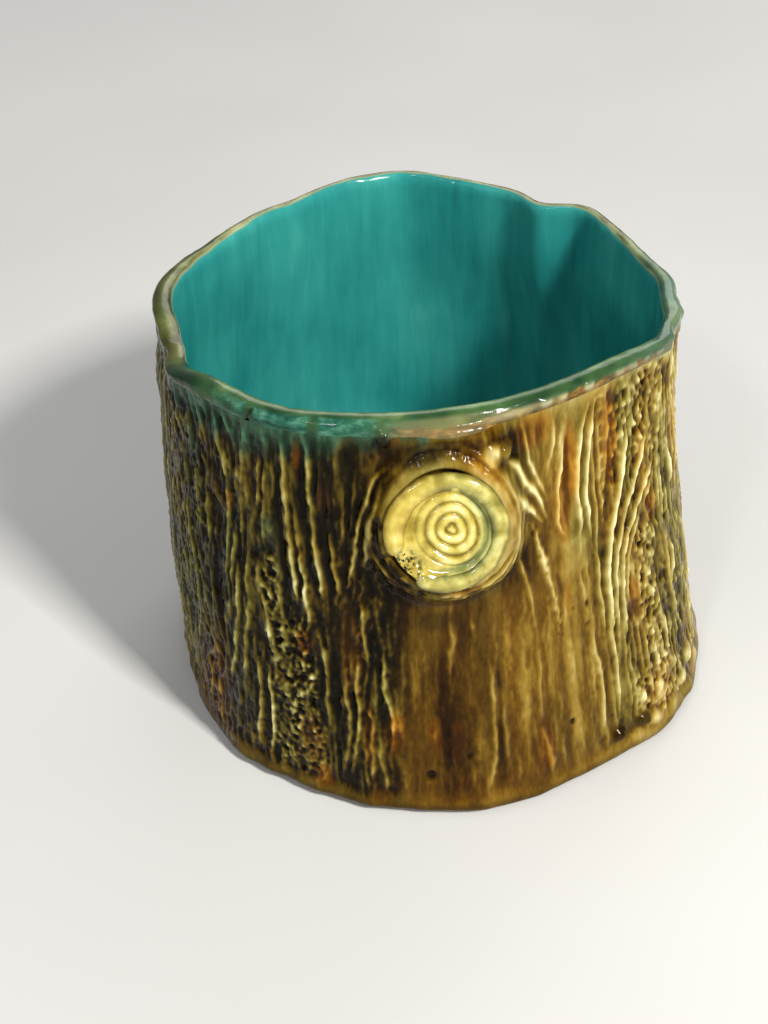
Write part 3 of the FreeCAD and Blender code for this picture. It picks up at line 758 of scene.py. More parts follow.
# The cut branch: a frame on its sawn face, in millimetres round the trunk's axis

branch_turn = math.radians(branch_direction)


def along_branch(radius, height):
    return Vector((radius * math.cos(branch_turn), radius * math.sin(branch_turn), height))


def tilted_branch(tilt):
    """Unit vector out along the branch's direction, tilted up."""
    return along_branch(math.cos(math.radians(tilt)), math.sin(math.radians(tilt)))


branch_root = float(trunk_radius(branch_direction, branch_height)) + bark_swell
face_centre = along_branch(branch_root, branch_height) + branch_reach * tilted_branch(branch_seat_tilt)
face_out = tilted_branch(branch_face_tilt)
face_across = Vector((-math.sin(branch_turn), math.cos(branch_turn), 0))
face_up = face_out.cross(face_across)
face_distance = math.hypot(face_centre.x, face_centre.y)
collar_inner_radius = edge_coil_radius + 1
collar_outer_radius = edge_coil_radius + edge_coil_thickness / 2 + 2


def collar_plane(angle, height):
    """Radius at which the plane of the sawn face lies, at a direction and height."""
    turn = np.clip(turn_from(angle, branch_direction), -60, 60)
    lean = math.tan(math.radians(branch_face_tilt))
    return (face_distance - (height - face_centre.z) * lean) / cosine(turn)


def from_branch(angle, height):
    """Distance from the branch's centre and direction round it, in millimetres and degrees."""
    turn = np.clip(turn_from(angle, branch_direction), -90, 90)
    across = np.sin(np.radians(turn)) * face_distance
    up = (height - face_centre.z) / math.cos(math.radians(branch_face_tilt))
    return np.hypot(across, up), np.degrees(np.arctan2(up, across))


def below_branch(bearing):
    """1 below the branch and at its left, where rough bark comes up to the coil."""
    return smooth(-50, -80, bearing) + smooth(160, 176, bearing)


def raise_collar(radius, relief, far, bearing):
    """Lifts the bark round the branch to the sawn face, with bark lines wrapped round it."""
    beyond = far - collar_outer_radius
    spread = 13 + 9 * smooth(0, -1, np.sin(np.radians(bearing))) + 3 * cosine(bearing) + 2 * grain(16, 16, 71)
    wraps = 0.85 * np.cos(beyond / 3.9 * 2 * np.pi + 2 * grain(9, 9, 72))
    wraps *= band(beyond, -1, 2, 6, 18) * (0.65 + 0.65 * grain(9, 9, 73))
    below = below_branch(bearing)
    scaly = 0.60 * grain(3.4, 3.8, 74) + 0.32 * grain(1.7, 1.9, 75)
    wraps += (1 + 1.1 * below) * scaly * smooth(-3, 2, beyond)
    wraps -= 1.8 * below * smooth(collar_inner_radius + 2.5, collar_outer_radius + 0.5, far)
    plane = collar_plane(ANGLE, HEIGHT) - 0.5
    raised = plane - 1.2 * smooth(-3, 1.5, beyond) ** 2 + wraps + 0.35 * relief * smooth(0, 9, beyond)
    shaped = mixed(np.maximum(raised, radius), radius, smooth(0, 1, (beyond + 1.5) / spread))
    return mixed(shaped, plane - 3, smooth(collar_inner_radius + 0.8, collar_inner_radius - 2.5, far))


def shoulder(angle, height):
    """Rounded shoulder of clay between the branch and the mouth."""
    far, bearing = from_branch(angle, height)
    return 4 * hump(far, 38, 5.5) * band(bearing, 30, 52, 84, 112)


# Small lobes and notches in the mouth's outline: direction, reach in degrees, height
mouth_lobes = [(209, 4.5, 1.6), (200, 3.2, -2.4), (348, 4, 1.6), (339.5, 3, -2.6), (333, 3, 1.2)]


def rim_lobes(angle, height):
    """Lobes of the mouth. They fade down the trunk."""
    return smooth(120, 190, height) * sum(lobe * facing(angle, at, reach) for at, reach, lobe in mouth_lobes)


def side_share(angle):
    """1 on the sides and the back, 0 on the front."""
    return np.maximum(smooth(250, 236, angle), smooth(314, 326, angle))


def dents():
    """Uneven trunk on the sides and the back, and toes along the foot."""
    toes = (0.8 * grain(8, 40, 122) - 0.5) * smooth(26, 8, HEIGHT)
    return 0.9 * (grain(17, 24, 121) - 1) * band(HEIGHT, 6, 26, 170, 190) * side_share(ANGLE) + toes


def dark_nub(angle, height):
    """Glossy pellet under the lip, left of the branch, from 0 to 1."""
    across = np.radians(turn_from(angle, dark_nub_direction)) * bark_radius
    return hump(np.hypot(across, height - dark_nub_height), 0, 3.1, 4)


def outer_radius(angle, height):
    """Trunk with its swellings and lobes, before the bark's relief."""
    return sum(part(angle, height) for part in (trunk_radius, swelling, shoulder, rim_lobes))


# Meshes

def in_frame(points):
    """Millimetres round the trunk's axis to metres in the frame."""
    return np.asarray(points, dtype=float) * MM + (axis_x, axis_y, 0)


def grid_mesh(name, points, closed_across=True, closed_up=False, fields=None, flip=False):
    """Mesh over a grid of points (rows, columns, 3) in the frame's metres, with its own point fields."""
    rows, columns = points.shape[:2]
    index = np.arange(rows * columns).reshape(rows, columns)
    if closed_across:
        index = np.concatenate([index, index[:, :1]], axis=1)
    if closed_up:
        index = np.concatenate([index, index[:1]], axis=0)
    quads = np.stack([index[:-1, :-1], index[:-1, 1:], index[1:, 1:], index[1:, :-1]], axis=-1).reshape(-1, 4)
    if flip:
        quads = quads[:, ::-1]
    mesh = bpy.data.meshes.new(name)
    mesh.vertices.add(rows * columns)
    mesh.vertices.foreach_set("co", points.reshape(-1).astype(np.float32))
    mesh.loops.add(quads.size)
    mesh.loops.foreach_set("vertex_index", quads.reshape(-1).astype(np.int32))
    mesh.polygons.add(len(quads))
    mesh.polygons.foreach_set("loop_start", np.arange(0, quads.size, 4, dtype=np.int32))
    mesh.polygons.foreach_set("use_smooth", np.ones(len(quads), dtype=bool))
    mesh.update(calc_edges=True)
    for field, values in (fields or {}).items():
        layer = mesh.attributes.new(field, "FLOAT", "POINT")
        layer.data.foreach_set("value", np.asarray(values, dtype=np.float32).reshape(-1))
    mesh.validate()
    return mesh


def round_mesh(name, angle, radius, height, **options):
    """Mesh through rows of radius and height over directions in degrees."""
    angle, radius, height = np.broadcast_arrays(angle, radius, height)
    turn = np.radians(angle)
    points = np.stack([radius * np.cos(turn), radius * np.sin(turn), height], axis=-1)
    return grid_mesh(name, in_frame(points), **options)


def close_ring(mesh, first, count, reverse):
    """Fills one ring of a grid with flat triangles."""
    work = bmesh.new()
    work.from_mesh(mesh)
    work.verts.ensure_lookup_table()
    ring = [work.verts[first + k] for k in range(count)]
    face = work.faces.new(ring[::-1] if reverse else ring)
    face.smooth = True
    bmesh.ops.triangulate(work, faces=[face])
    work.to_mesh(mesh)
    work.free()


def add_object(name, data):
    thing = bpy.data.objects.new(name, data)
    bpy.context.scene.collection.objects.link(thing)
    return thing


def add_piece(mesh, material, slot, *nodes):
    piece = add_object(mesh.name, mesh)
    mesh.materials.append(material)
    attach(piece, "root")
    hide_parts(*nodes)


# Materials

def linear(*colour):
    """Colour written as 0 to 255 in the usual display values, as the shader's linear values."""
    shares = [value / 255 for value in colour]
    return (*(v / 12.92 if v <= 0.04045 else ((v + 0.055) / 1.055) ** 2.4 for v in shares), 1)


class Shader:
    """Builds one material's nodes."""

    def __init__(self, name):
        self.material = bpy.data.materials.new(name)
        self.material.use_nodes = True
        self.tree = self.material.node_tree
        self.tree.nodes.clear()
        self.surface = self.new("BsdfPrincipled")
        self.wire(self.new("OutputMaterial"), Surface=self.surface.outputs["BSDF"])
        self.place = self.new("TexCoord").outputs["Object"]

    def new(self, kind):
        return self.tree.nodes.new("ShaderNode" + kind)

    def wire(self, node, *first, **named):
        """Sets a node's inputs, the first ones in their order and others by name, to values or links."""
        for key, value in (*enumerate(first), *named.items()):
            if isinstance(value, bpy.types.NodeSocket):
                self.tree.links.new(value, node.inputs[key])
            elif value is not None:
                node.inputs[key].default_value = value
        return node.outputs

    def field(self, name):
        node = self.new("Attribute")
        node.attribute_name = name
        return node.outputs["Fac"]

    def noise(self, scale, detail=3, roughness=0.5, tall=None, distortion=0):
        """Noise over the object, drawn out upright where tall is under 1."""
        place = self.place
        if tall:
            place = self.wire(self.new("Mapping"), Vector=place, Scale=(1, 1, tall))["Vector"]
        return self.wire(
            self.new("TexNoise"), Vector=place, Scale=scale, Detail=detail, Roughness=roughness,
            Distortion=distortion,
        )["Fac"]

    def maths(self, operation, a, b):
        node = self.new("Math")
        node.operation = operation
        return self.wire(node, a, b)[0]

    def add(self, a, b):
        return self.maths("ADD", a, b)

    def times(self, a, b):
        return self.maths("MULTIPLY", a, b)

    def span(self, value, low, high, to_low=0, to_high=1):
        """Value from low to high, eased and moved to another span."""
        node = self.new("MapRange")
        node.interpolation_type = "SMOOTHSTEP"
        return self.wire(node, value, low, high, to_low, to_high)["Result"]

    def vary(self, value, to_low, to_high):
        """Most of a noise's range, moved to another span."""
        return self.span(value, 0.3, 0.7, to_low, to_high)

    def ramp(self, value, *stops):
        """Colours by value. A stop is its place, red, green and blue."""
        node = self.new("ValToRGB")
        elements = node.color_ramp.elements
        while len(elements) < len(stops):
            elements.new(0.5)
        for element, (place, *colour) in zip(elements, stops):
            element.position = place
            element.color = linear(*colour)
        return self.wire(node, value)["Color"]

    def over(self, base, name, coat):
        """Coat laid over a base colour, by the mesh's field of that name or by a share."""
        node = self.new("Mix")
        node.data_type = "RGBA"
        share = self.field(name) if isinstance(name, str) else name
        other_types = [None] * 5           # inputs 1 to 5 mix numbers and vectors
        return self.wire(node, share, *other_types, base, coat)[2]

    def bump(self, height, strength, distance, normal=None):
        return self.wire(
            self.new("Bump"), Strength=strength, Distance=distance, Height=height, Normal=normal
        )["Normal"]

    def finish(self, colour, roughness, normal, shine, tint=(1, 1, 1)):
        self.wire(self.surface, colour, Roughness=roughness, Normal=normal)
        self.surface.inputs["Specular IOR Level"].default_value = shine
        self.surface.inputs["Specular Tint"].default_value = (*tint, 1)
        return self.material


pooled_glaze = linear(18, 13, 8)


def bark_glaze():
    """Brown lead glaze: dark where it pools, tan where it runs thin over the crests, and painted lighter on
    the bark's right side as if lit from there.
    """
    s = Shader("bark_glaze")
    fine = s.noise(600, 4, 0.6, tall=0.30)
    mottle = s.noise(64, 3, 0.55, tall=0.45)
    thin = s.add(s.field("thin"), s.vary(fine, -0.035, 0.035))
    thin = s.add(thin, s.vary(mottle, -0.06, 0.06))
    colour = s.ramp(
        thin, (0, 5, 3, 1), (0.16, 26, 17, 3), (0.38, 84, 65, 14), (0.56, 124, 108, 44),
        (0.76, 166, 155, 96), (1, 210, 207, 164),
    )
    colour = s.over(colour, "amber", s.ramp(
        thin, (0, 22, 9, 1), (0.3, 82, 46, 5), (0.6, 146, 102, 26), (1, 206, 178, 98),
    ))
    colour = s.over(colour, "olive", s.ramp(
        thin, (0, 5, 6, 2), (0.2, 24, 26, 8), (0.5, 84, 84, 32), (0.8, 146, 142, 86), (1, 204, 202, 152),
    ))
    colour = s.over(colour, "green", s.ramp(
        thin, (0, 8, 22, 14), (0.3, 28, 58, 42), (0.6, 64, 110, 88), (0.8, 104, 150, 128), (1, 160, 192, 166),
    ))
    colour = s.over(colour, "dark", pooled_glaze)
    normal = s.bump(fine, 0.16, 0.0003)
    normal = s.bump(s.noise(1400, 2), 0.08, 0.0002, normal)
    return s.finish(colour, s.vary(s.noise(240), 0.08, 0.20), normal, 0.10, tint=(1, 0.92, 0.78))


def turquoise_coat(s):
    """Colour of turquoise glaze brushed on upright, with its fine and its broad noise."""
    streak = s.noise(170, 5, 0.62, tall=0.09, distortion=0.4)
    broad = s.noise(24, 3, 0.5, tall=0.55)
    colour = s.ramp(
        s.add(s.times(streak, 0.30), s.times(broad, 0.70)),
        (0.24, 18, 92, 92), (0.42, 34, 122, 119), (0.58, 46, 138, 132), (0.78, 76, 160, 150),
    )
    return colour, streak, broad


def lip_glaze():
    """Green glaze over the lip, paler along its outer edge where it ran thin, with a painted highlight along
    its inner edge, and turquoise inside.
    """
    s = Shader("lip_glaze")
    tone = s.add(s.times(s.noise(46, 4, 0.55), 0.6), s.times(s.field("thin"), 0.55))
    colour = s.ramp(tone, (0.2, 8, 26, 14), (0.45, 26, 54, 30), (0.68, 56, 84, 46), (0.95, 116, 140, 94))
    colour = s.over(colour, "olive", s.ramp(
        tone, (0.2, 22, 22, 8), (0.45, 52, 54, 24), (0.68, 86, 90, 46), (0.95, 148, 150, 104),
    ))
    brush = s.noise(150, 4, 0.6, tall=2.5)
    earth = s.ramp(brush, (0.30, 44, 26, 6), (0.50, 98, 66, 20), (0.70, 150, 112, 48))
    spilt = s.ramp(brush, (0.28, 14, 46, 38), (0.48, 34, 88, 72), (0.72, 86, 140, 112))
    inside, streak, broad = turquoise_coat(s)
    # The cream coat is thin glaze on the lip's outer edge, and also a painted highlight along its inner edge.
    cream = linear(200, 204, 160)
    coats = {"brown": earth, "spill": spilt, "teal": inside, "cream": cream, "dark": pooled_glaze}
    for name, coat in coats.items():
        colour = s.over(colour, name, coat)
    normal = s.bump(s.noise(420), 0.14, 0.0003)
    normal = s.bump(streak, 0.20, 0.0006, normal)
    return s.finish(colour, s.vary(broad, 0.08, 0.20), normal, 0.18)


def turquoise_glaze():
    s = Shader("turquoise_glaze")
    colour, streak, broad = turquoise_coat(s)
    normal = s.bump(streak, 0.20, 0.0006)
    normal = s.bump(s.noise(900, 2), 0.08, 0.0002, normal)
    return s.finish(colour, s.vary(broad, 0.10, 0.22), normal, 0.36)


def yellow_glaze():
    """Yellow glaze, cream on the crests and greenish in the channels."""
    s = Shader("yellow_glaze")
    mottle = s.noise(120, 4, 0.55)
    tone = s.add(s.field("thin"), s.vary(mottle, -0.18, 0.16))
    colour = s.ramp(
        tone, (0, 54, 52, 14), (0.25, 100, 90, 26), (0.48, 146, 128, 48), (0.7, 188, 172, 84),
        (1, 222, 216, 158),
    )
    colour = s.over(colour, "green", s.ramp(tone, (0, 48, 56, 26), (0.5, 116, 122, 66), (1, 188, 192, 130)))
    colour = s.over(colour, "amber", s.ramp(
        tone, (0, 112, 78, 12), (0.45, 174, 148, 50), (0.75, 198, 182, 94), (1, 224, 218, 156),
    ))
    speck = s.span(s.noise(620, 3, 0.7), 0.46, 0.56)
    colour = s.over(colour, s.times(s.field("dark"), speck), linear(40, 40, 22))
    normal = s.bump(s.noise(800, 2), 0.10, 0.0002)
    normal = s.bump(mottle, 0.20, 0.0005, normal)
    return s.finish(colour, s.vary(mottle, 0.08, 0.16), normal, 0.50)


def bare_clay():
    """Unglazed buff clay, turned and a little stained."""
    s = Shader("bare_clay")
    fine = s.noise(700, 5, 0.6)
    tone = s.add(s.times(fine, 0.5), s.times(s.noise(60), 0.5))
    colour = s.ramp(tone, (0.25, 132, 100, 70), (0.50, 178, 146, 108), (0.75, 204, 178, 142))
    return s.finish(colour, s.vary(fine, 0.72, 0.92), s.bump(fine, 0.35, 0.0004), 0.3)


def floor_paint():
    s = Shader("floor_paint")
    colour = s.ramp(s.noise(3, 2), (0.3, 192, 192, 190), (0.7, 198, 198, 196))
    return s.finish(colour, 0.85, None, 0.2)


# Pieces

def stains(name):
    """Strongest of the named stains over the bark's grid."""
    total = np.zeros_like(ANGLE)
    for angle, rise, wide, tall, strength in glaze_stains[name]:
        far = np.hypot(turn_from(ANGLE, angle) / wide, (RISE - rise) / tall)
        total = np.maximum(total, strength * smooth(1.25, 0.45, far))
    return total


def glaze_thinness_and_painted_light(relief, far, bearing, right, panel):
    """How thin the glaze lies, from 0 where it pools to 1 on the crests, plus painted light that makes the
    bark's right side lighter.
    """
    near = relief - blurred(relief, (1, 1, 2, 2, 4))
    broad = relief - blurred(relief, (1, 2, 4, 8, 8, 12))
    depth = np.clip((relief + 2.9) / 2.9, 0, 1.4)
    # Painted light: where right is 1, the flanks and crests come out lighter.
    thin = 0.135 + 0.48 * depth ** (1.5 - 0.45 * right) + (0.15 - 0.04 * right) * near + 0.07 * broad
    thin = mixed(thin, 0.04 + 0.80 * thin, band(ANGLE, 196, 214, 252, 262))
    thin += band(ANGLE, 235, 238, 248, 251) * smooth(0.70, 0.60, RISE) * (0.04 + 0.22 * near)
    # Painted light: the first term makes the right side lighter, as if lit from there.
    thin += 0.17 * right + 0.15 * hump(far, 35, 9) * smooth(0.1, 0.8, cosine(bearing + 10))
    streak = 0.11 * grain(6, 70, 95) + 0.06 * grain(2.4, 50, 97)
    thin = mixed(thin, 0.23 + 0.50 * thin + streak + 0.03 * smooth(266, 290, ANGLE), 0.8 * panel)
    thin += 0.04 * band(ANGLE, 308, 314, 344, 352) * smooth(0.26, 0.12, RISE)
    thin += 0.06 * grain(22, 50, 81) + 0.04 * grain(4, 30, 82)
    for angle, rise, across, up, _ in nubs:
        turn = np.radians(turn_from(ANGLE, angle)) * bark_radius
        thin = mixed(thin, 0.19, smooth(1.3, 0.8, np.hypot(turn / across, (HEIGHT - rise * rim_height) / up)))
    # The foot's tone is also painted lighter on the right side.
    foot_tone = 0.30 + 0.10 * right + 0.10 * grain(9, 6, 99)
    thin = mixed(thin, foot_tone, 0.55 * smooth(14, 3, HEIGHT - bark_bottom))
    return np.clip(thin, 0, 1)


def bark_colour_fields(relief, far, bearing):
    """How thin the glaze lies, with painted light on the right side, and where it is amber, olive, green or
    dark.
    """
    # right marks the side of the bark that is painted lighter, as if lit.
    right = band(ANGLE, 278, 304, 346, 372)
    left = band(ANGLE, 150, 190, 246, 262)
    panel = band(ANGLE, 261, 267, 303, 311) * smooth(0.66, 0.56, RISE)
    ring = hump(far, collar_outer_radius + 1, 4.5) * smooth(-0.2, 0.5, cosine(bearing + 10))
    shades = (
        stains("amber"), 0.5 * smooth(0.25, 0.8, grain(14, 60, 83)), 0.30 * band(ANGLE, 255, 290, 310, 340),
        ring, 0.35 * panel,
    )
    amber = np.maximum.reduce(shades)
    olive = (0.45 + 0.35 * smooth(236, 222, ANGLE)) * left * smooth(-0.7, 0.4, grain(18, 40, 84))
    olive = np.maximum(olive, 0.50 * smooth(-0.2, 0.5, grain(16, 60, 85)))
    olive *= (1 - stains("amber")) * (1 - 0.7 * panel) * smooth(4, 16, HEIGHT - bark_bottom)
    drip = 5 * grain(5, 400, 86) + 3.5 * grain(2.2, 400, 87)
    reach = 9 + 12 * facing(ANGLE, 228, 30) - 8 * facing(ANGLE, 300, 34)
    green = smooth(-2, 8, HEIGHT - (rim_height - reach - 2 + drip))
    moss = 0.55 * smooth(0.25, 0.7, grain(12, 22, 88)) * left * smooth(0.55, 0.85, RISE)
    return {
        "thin": glaze_thinness_and_painted_light(relief, far, bearing, right, panel), "amber": amber, "olive": olive,
        "green": 0.9 * np.maximum(green, moss),
        "dark": np.maximum(stains("dark"), 0.5 * smooth(3, 0, HEIGHT - bark_bottom)),
    }


def finished_relief():
    """The bark's relief with fine roughness, eased at the foot and under the lip."""
    relief = blurred(lay_bark(), (1,))
    relief += 0.16 * grain(1.6, 12, 91) + 0.09 * grain(1.1, 3, 92)
    rough = (1 - 0.75 * band(ANGLE, 263, 266, 306, 311)) * (1 + 0.5 * side_share(ANGLE))
    relief += rough * (0.32 * grain(2.8, 5, 93) + 0.18 * grain(1.5, 1.9, 94))
    relief = mixed(-0.6, relief, smooth(bark_bottom - 2, bark_bottom + 9, HEIGHT))
    return mixed(-0.5 + 0.30 * relief, relief, smooth(rim_height - 5, rim_height - 16, HEIGHT))


def make_bark(material):
    """Bark from the rounded lower edge up to the lip."""
    relief = finished_relief()
    far, bearing = from_branch(ANGLE, HEIGHT)
    lifted = HEIGHT + top_lift * front_rise(ANGLE) * smooth(150, bark_top, HEIGHT)
    nub = dark_nub(ANGLE, lifted)
    radius = raise_collar(outer_radius(ANGLE, HEIGHT) + dents() + relief, relief, far, bearing) + 2.3 * nub

    fields = bark_colour_fields(relief, far, bearing)
    below = below_branch(bearing)
    wrapped = 0.36 + 0.30 * (radius - blurred(radius, (1, 1, 2, 2, 4)))
    wrapped += 0.30 * smooth(-0.3, 0.6, cosine(bearing + 25)) + 0.10 * grain(5, 5, 89)
    wrapped += below * (0.20 * grain(3, 3, 96) - 0.10)
    near_branch = smooth(collar_outer_radius + 20, collar_outer_radius + 2, far)
    fields["thin"] = np.clip(mixed(fields["thin"], wrapped, 0.7 * near_branch), 0, 1)
    torn = below * hump(far, 26.5, 2.4) * smooth(-0.3, 0.4, grain(2.4, 2.4, 98))
    fields["dark"] = np.maximum.reduce((fields["dark"], 0.9 * smooth(0.1, 0.5, nub), torn))

    turns = np.linspace(0, math.pi / 2, 7)[:-1, None]
    edge_radius = radius[:1] - root_edge_radius * (1 - np.sin(turns))
    edge_height = foot_height + root_edge_radius * (1 - np.cos(turns)) + 0 * edge_radius
    fields = {name: np.concatenate([np.repeat(v[:1], len(turns), axis=0), v]) for name, v in fields.items()}
    mesh = round_mesh(
        "bark_wall", directions, np.concatenate([edge_radius, radius]), np.concatenate([edge_height, lifted]),
        fields=fields,
    )
    add_piece(mesh, material, "bark_glaze", "trunk_wall", "branch_collar", "bark_pellets")
    return radius[-1], edge_radius[0]


def lip_section(outer):
    """Radius, height and share of the lip's rows, from the bark over the crest and a little into the bowl."""
    lobes = rim_lobes(directions, rim_height - 4)
    rise = front_rise(directions)
    width = lip_thickness * around(lip_width_shares, directions) + 0.4 * cloud(arcs, 0, 22, 50, 100)
    width += 0.8 * lobes + 1.6 * rise
    crest = rim_height + lip_band_height * around(rim_wave_shares, directions) - 0.4
    crest += 0.4 * cloud(arcs, 0, 24, 50, 101) * (1 - 0.6 * rise) + 4.2 * rise
    base = trunk_radius(directions, rim_height - 4) + lobes + 0.4 * swelling(directions, rim_height - 4)
    base += 0.3 * cloud(arcs, 0, 12, 50, 106) - 0.25
    foot = bark_top + 1.2 + top_lift * rise
    rows = [(outer, bark_top + top_lift * rise, 0)]
    for t in np.linspace(0, math.pi, 25):
        c = math.cos(t)
        radius = base - width * 0.5 * (1 - math.copysign(abs(c) ** 0.86, c))
        radius = mixed(radius, 0.5 * (radius + outer), smooth(0.80, 1, c))
        rows.append((radius, foot + (crest - foot) * math.sin(t) ** 0.80, 0.06 + 0.84 * t / math.pi))
    inner = base - width
    last = bowl_radius(directions, bowl_top, inner)
    for share in np.linspace(0, 1, 7)[1:]:
        radius = mixed(inner, last, smooth(0, 1, share))
        rows.append((radius, mixed(foot, bowl_top, share), 0.90 + 0.10 * share))
    radius, height, share = zip(*rows)
    return np.array(radius), np.array(height), np.array(share)[:, None] + 0 * np.array(radius), inner


def bowl_radius(angle, height, inner):
    """Inside of the pot. Near the top it follows the inner edge of the lip."""
    radius = flared_radius(hollow_root_shares, angle, height) - lip_thickness
    near = smooth(wall_top - 44, bark_top, height)
    uneven = cloud(np.radians(angle) * bark_radius, height, 24, 40, 111)
    return mixed(radius, inner, near) + 0.45 * uneven * (1 - near)


def make_lip(material, outer):
    """Rounded lip over the wall's top, with its glazes, its nub and its crack."""
    radius, height, share, inner = lip_section(outer)
    angles = np.broadcast_to(directions, radius.shape)
    arc = np.radians(angles) * bark_radius

    def along_lip(cell, seed):
        return cloud(arc, 0, cell, 50, seed)

    def over_lip(cell_along, cell_over, seed):
        return cloud(arc, 40 * share, cell_along, cell_over, seed)

    ripple, knobs = over_lip(7, 9, 102), over_lip(5, 9, 110)
    away_from_edges = np.sin(np.pi * np.clip(share / 0.9, 0, 1))
    height = height + 0.12 * ripple * away_from_edges
    radius = radius + 0.20 * over_lip(3.6, 3.6, 109) * away_from_edges
    radius += 0.9 * band(angles, 276, 300, 352, 372) * hump(share, 0.16, 0.12) * knobs
    nub = dark_nub(angles, height) * smooth(0.5, 0.3, share)
    crack = facing(angles, lip_crack + 4 * share, 0.5) * smooth(0.36, 0.20, share)
    radius += 2.3 * nub - 0.9 * crack

    front = band(angles, 200, 216, 326, 350)
    right = facing(angles, 350, 22)
    over_branch = facing(angles, 273, 9.5, 4) * smooth(0.36, 0.22, share)
    along = along_lip(20, 103)
    olive = np.clip(1 - front - 0.5 * right + 0.25 * along, 0, 1)
    edge = around(teal_edge_shares, angles) + 0.03 * along_lip(9, 104)
    # Painted highlight: a pale line along the lip's inner edge, where the turquoise begins.
    inner_edge_highlight = hump(share, edge - 0.01, 0.030) * (0.75 + 0.25 * along) * (0.6 + 0.4 * front)
    ragged = along_lip(6, 105)
    spill = facing(angles, 245, 19, 4) * smooth(0.44, 0.30, share + 0.05 * ragged)
    spill *= smooth(-1.1, -0.1, ragged)
    cream = band(angles, 274, 292, 318, 344) * hump(share, 0.12, 0.07) * (0.45 + 0.25 * along_lip(16, 107))
    cream *= mixed(1, smooth(-0.5, 0.5, knobs), smooth(284, 300, angles))
    washed = 0.12 * right * smooth(0.6, 0.3, share)
    brown = 0.8 * smooth(0.10, 0.02, share) * (1 - facing(angles, 240, 26, 4))
    brushed = band(angles, 262, 266, 322, 340) * smooth(0.03, -0.03, share - 0.15 - 0.07 * along_lip(5, 108))
    thin = 0.42 + 0.24 * ripple + 0.34 * hump(share, 0.55, 0.12) - 0.18 * facing(angles, 200, 26)
    fields = {
        "thin": np.clip(thin, 0, 1),
        "olive": np.maximum(olive, over_branch),
        # The cream field carries thin glaze and also the painted highlight along the inner edge.
        "cream": np.maximum.reduce((cream, 0.7 * inner_edge_highlight, washed, 0.10 * over_branch)),
        "teal": np.maximum(smooth(-0.02, 0.05, share - edge), 0.22 * right),
        "brown": np.maximum(brown, 0.85 * brushed),
        "spill": 0.95 * spill * (1 - 0.8 * crack),
        "dark": 0.9 * np.maximum(smooth(0.1, 0.5, nub), 0.8 * crack),
    }
    mesh = round_mesh("rim_lip_glazed", angles, radius, height, fields=fields)
    add_piece(mesh, material, "lip_glaze", "rim_lip")
    return inner


def make_bowl(material, inner):
    """Glazed inside below the lip: the wall, a rounded corner and the floor."""
    wall_rows, corner_rows, floor_rows = 60, 9, 16
    middle_radius = middle_dip = 0.4
    angle = directions[::2]
    floor = floor_top + glaze_thickness
    corner = wall_fillet_radius - glaze_gap - glaze_thickness
    wall = np.linspace(bowl_top, floor + corner, wall_rows)
    rows = [(bowl_radius(angle, height, inner[::2]), height) for height in wall]
    wall_end = rows[-1][0]
    for t in np.linspace(0, math.pi / 2, corner_rows)[1:]:
        rows.append((wall_end - corner * (1 - math.cos(t)), floor + corner * (1 - math.sin(t))))
    flat_end = rows[-1][0]
    for share in np.linspace(0, 1, floor_rows)[1:]:
        rows.append((flat_end * (1 - share) + middle_radius * share, floor - middle_dip * share))
    radius, height = zip(*rows)
    mesh = round_mesh("inner_bowl", angle, np.array(radius), np.array(height)[:, None])
    add_piece(mesh, material, "turquoise_glaze", "inner_glaze")


def make_underside(material, edge):
    """Glazed underside of the floor, drawn up a little inside the foot."""
    angle = np.arange(0, 360, 3)
    outer = np.interp(angle, np.mod(directions, 360), edge, period=360)
    share = np.linspace(0, 1, 24)[:, None]
    radius = outer * (1 - share) + 0.5 * share
    tones = {"thin": 0.5, "amber": 0.3, "olive": 0, "green": 0, "dark": 0}
    fields = {name: np.full_like(radius, tone) for name, tone in tones.items()}
    height = foot_height + 1.2 * smooth(0.20, 0.5, share)
    mesh = round_mesh("base_underside", angle, radius, height, fields=fields, flip=True)
    add_piece(mesh, material, "root_glaze", "base_slab")


def make_foot(material):
    """Unglazed foot ring with worn, rounded edges."""
    angle = np.arange(0, 360, 2)
    worn = 1.4
    turns = np.linspace(0, math.pi / 2, 5)
    half = [(0, foot_height + 0.6), (0.3, 2)]
    half += [(foot_taper + worn * (1 - math.cos(t)), worn * (1 - math.sin(t))) for t in turns]
    half.append((0.5 * foot_width - 1.5, 0))
    section = [*half, (0.5 * foot_width, 0), *((foot_width - inset, lift) for inset, lift in half[::-1])]
    inset, lift = (np.array(values)[:, None] for values in zip(*section))
    radius = trunk_radius(angle, 0) - foot_inset - inset
    mesh = round_mesh("foot_ring_clay", angle, radius, lift, closed_up=True, flip=True)
    add_piece(mesh, material, "bare_clay", "foot_ring")


def on_face(across, up, lift):
    """Places on the sawn face, in millimetres, to points in the frame."""
    centre, x, y, z = (np.array(v) for v in (face_centre, face_across, face_up, face_out))
    return in_frame(centre + across[..., None] * x + up[..., None] * y + lift[..., None] * z)


ring_centre_across, ring_centre_up = 2, 1.6
ring_step = 4.5


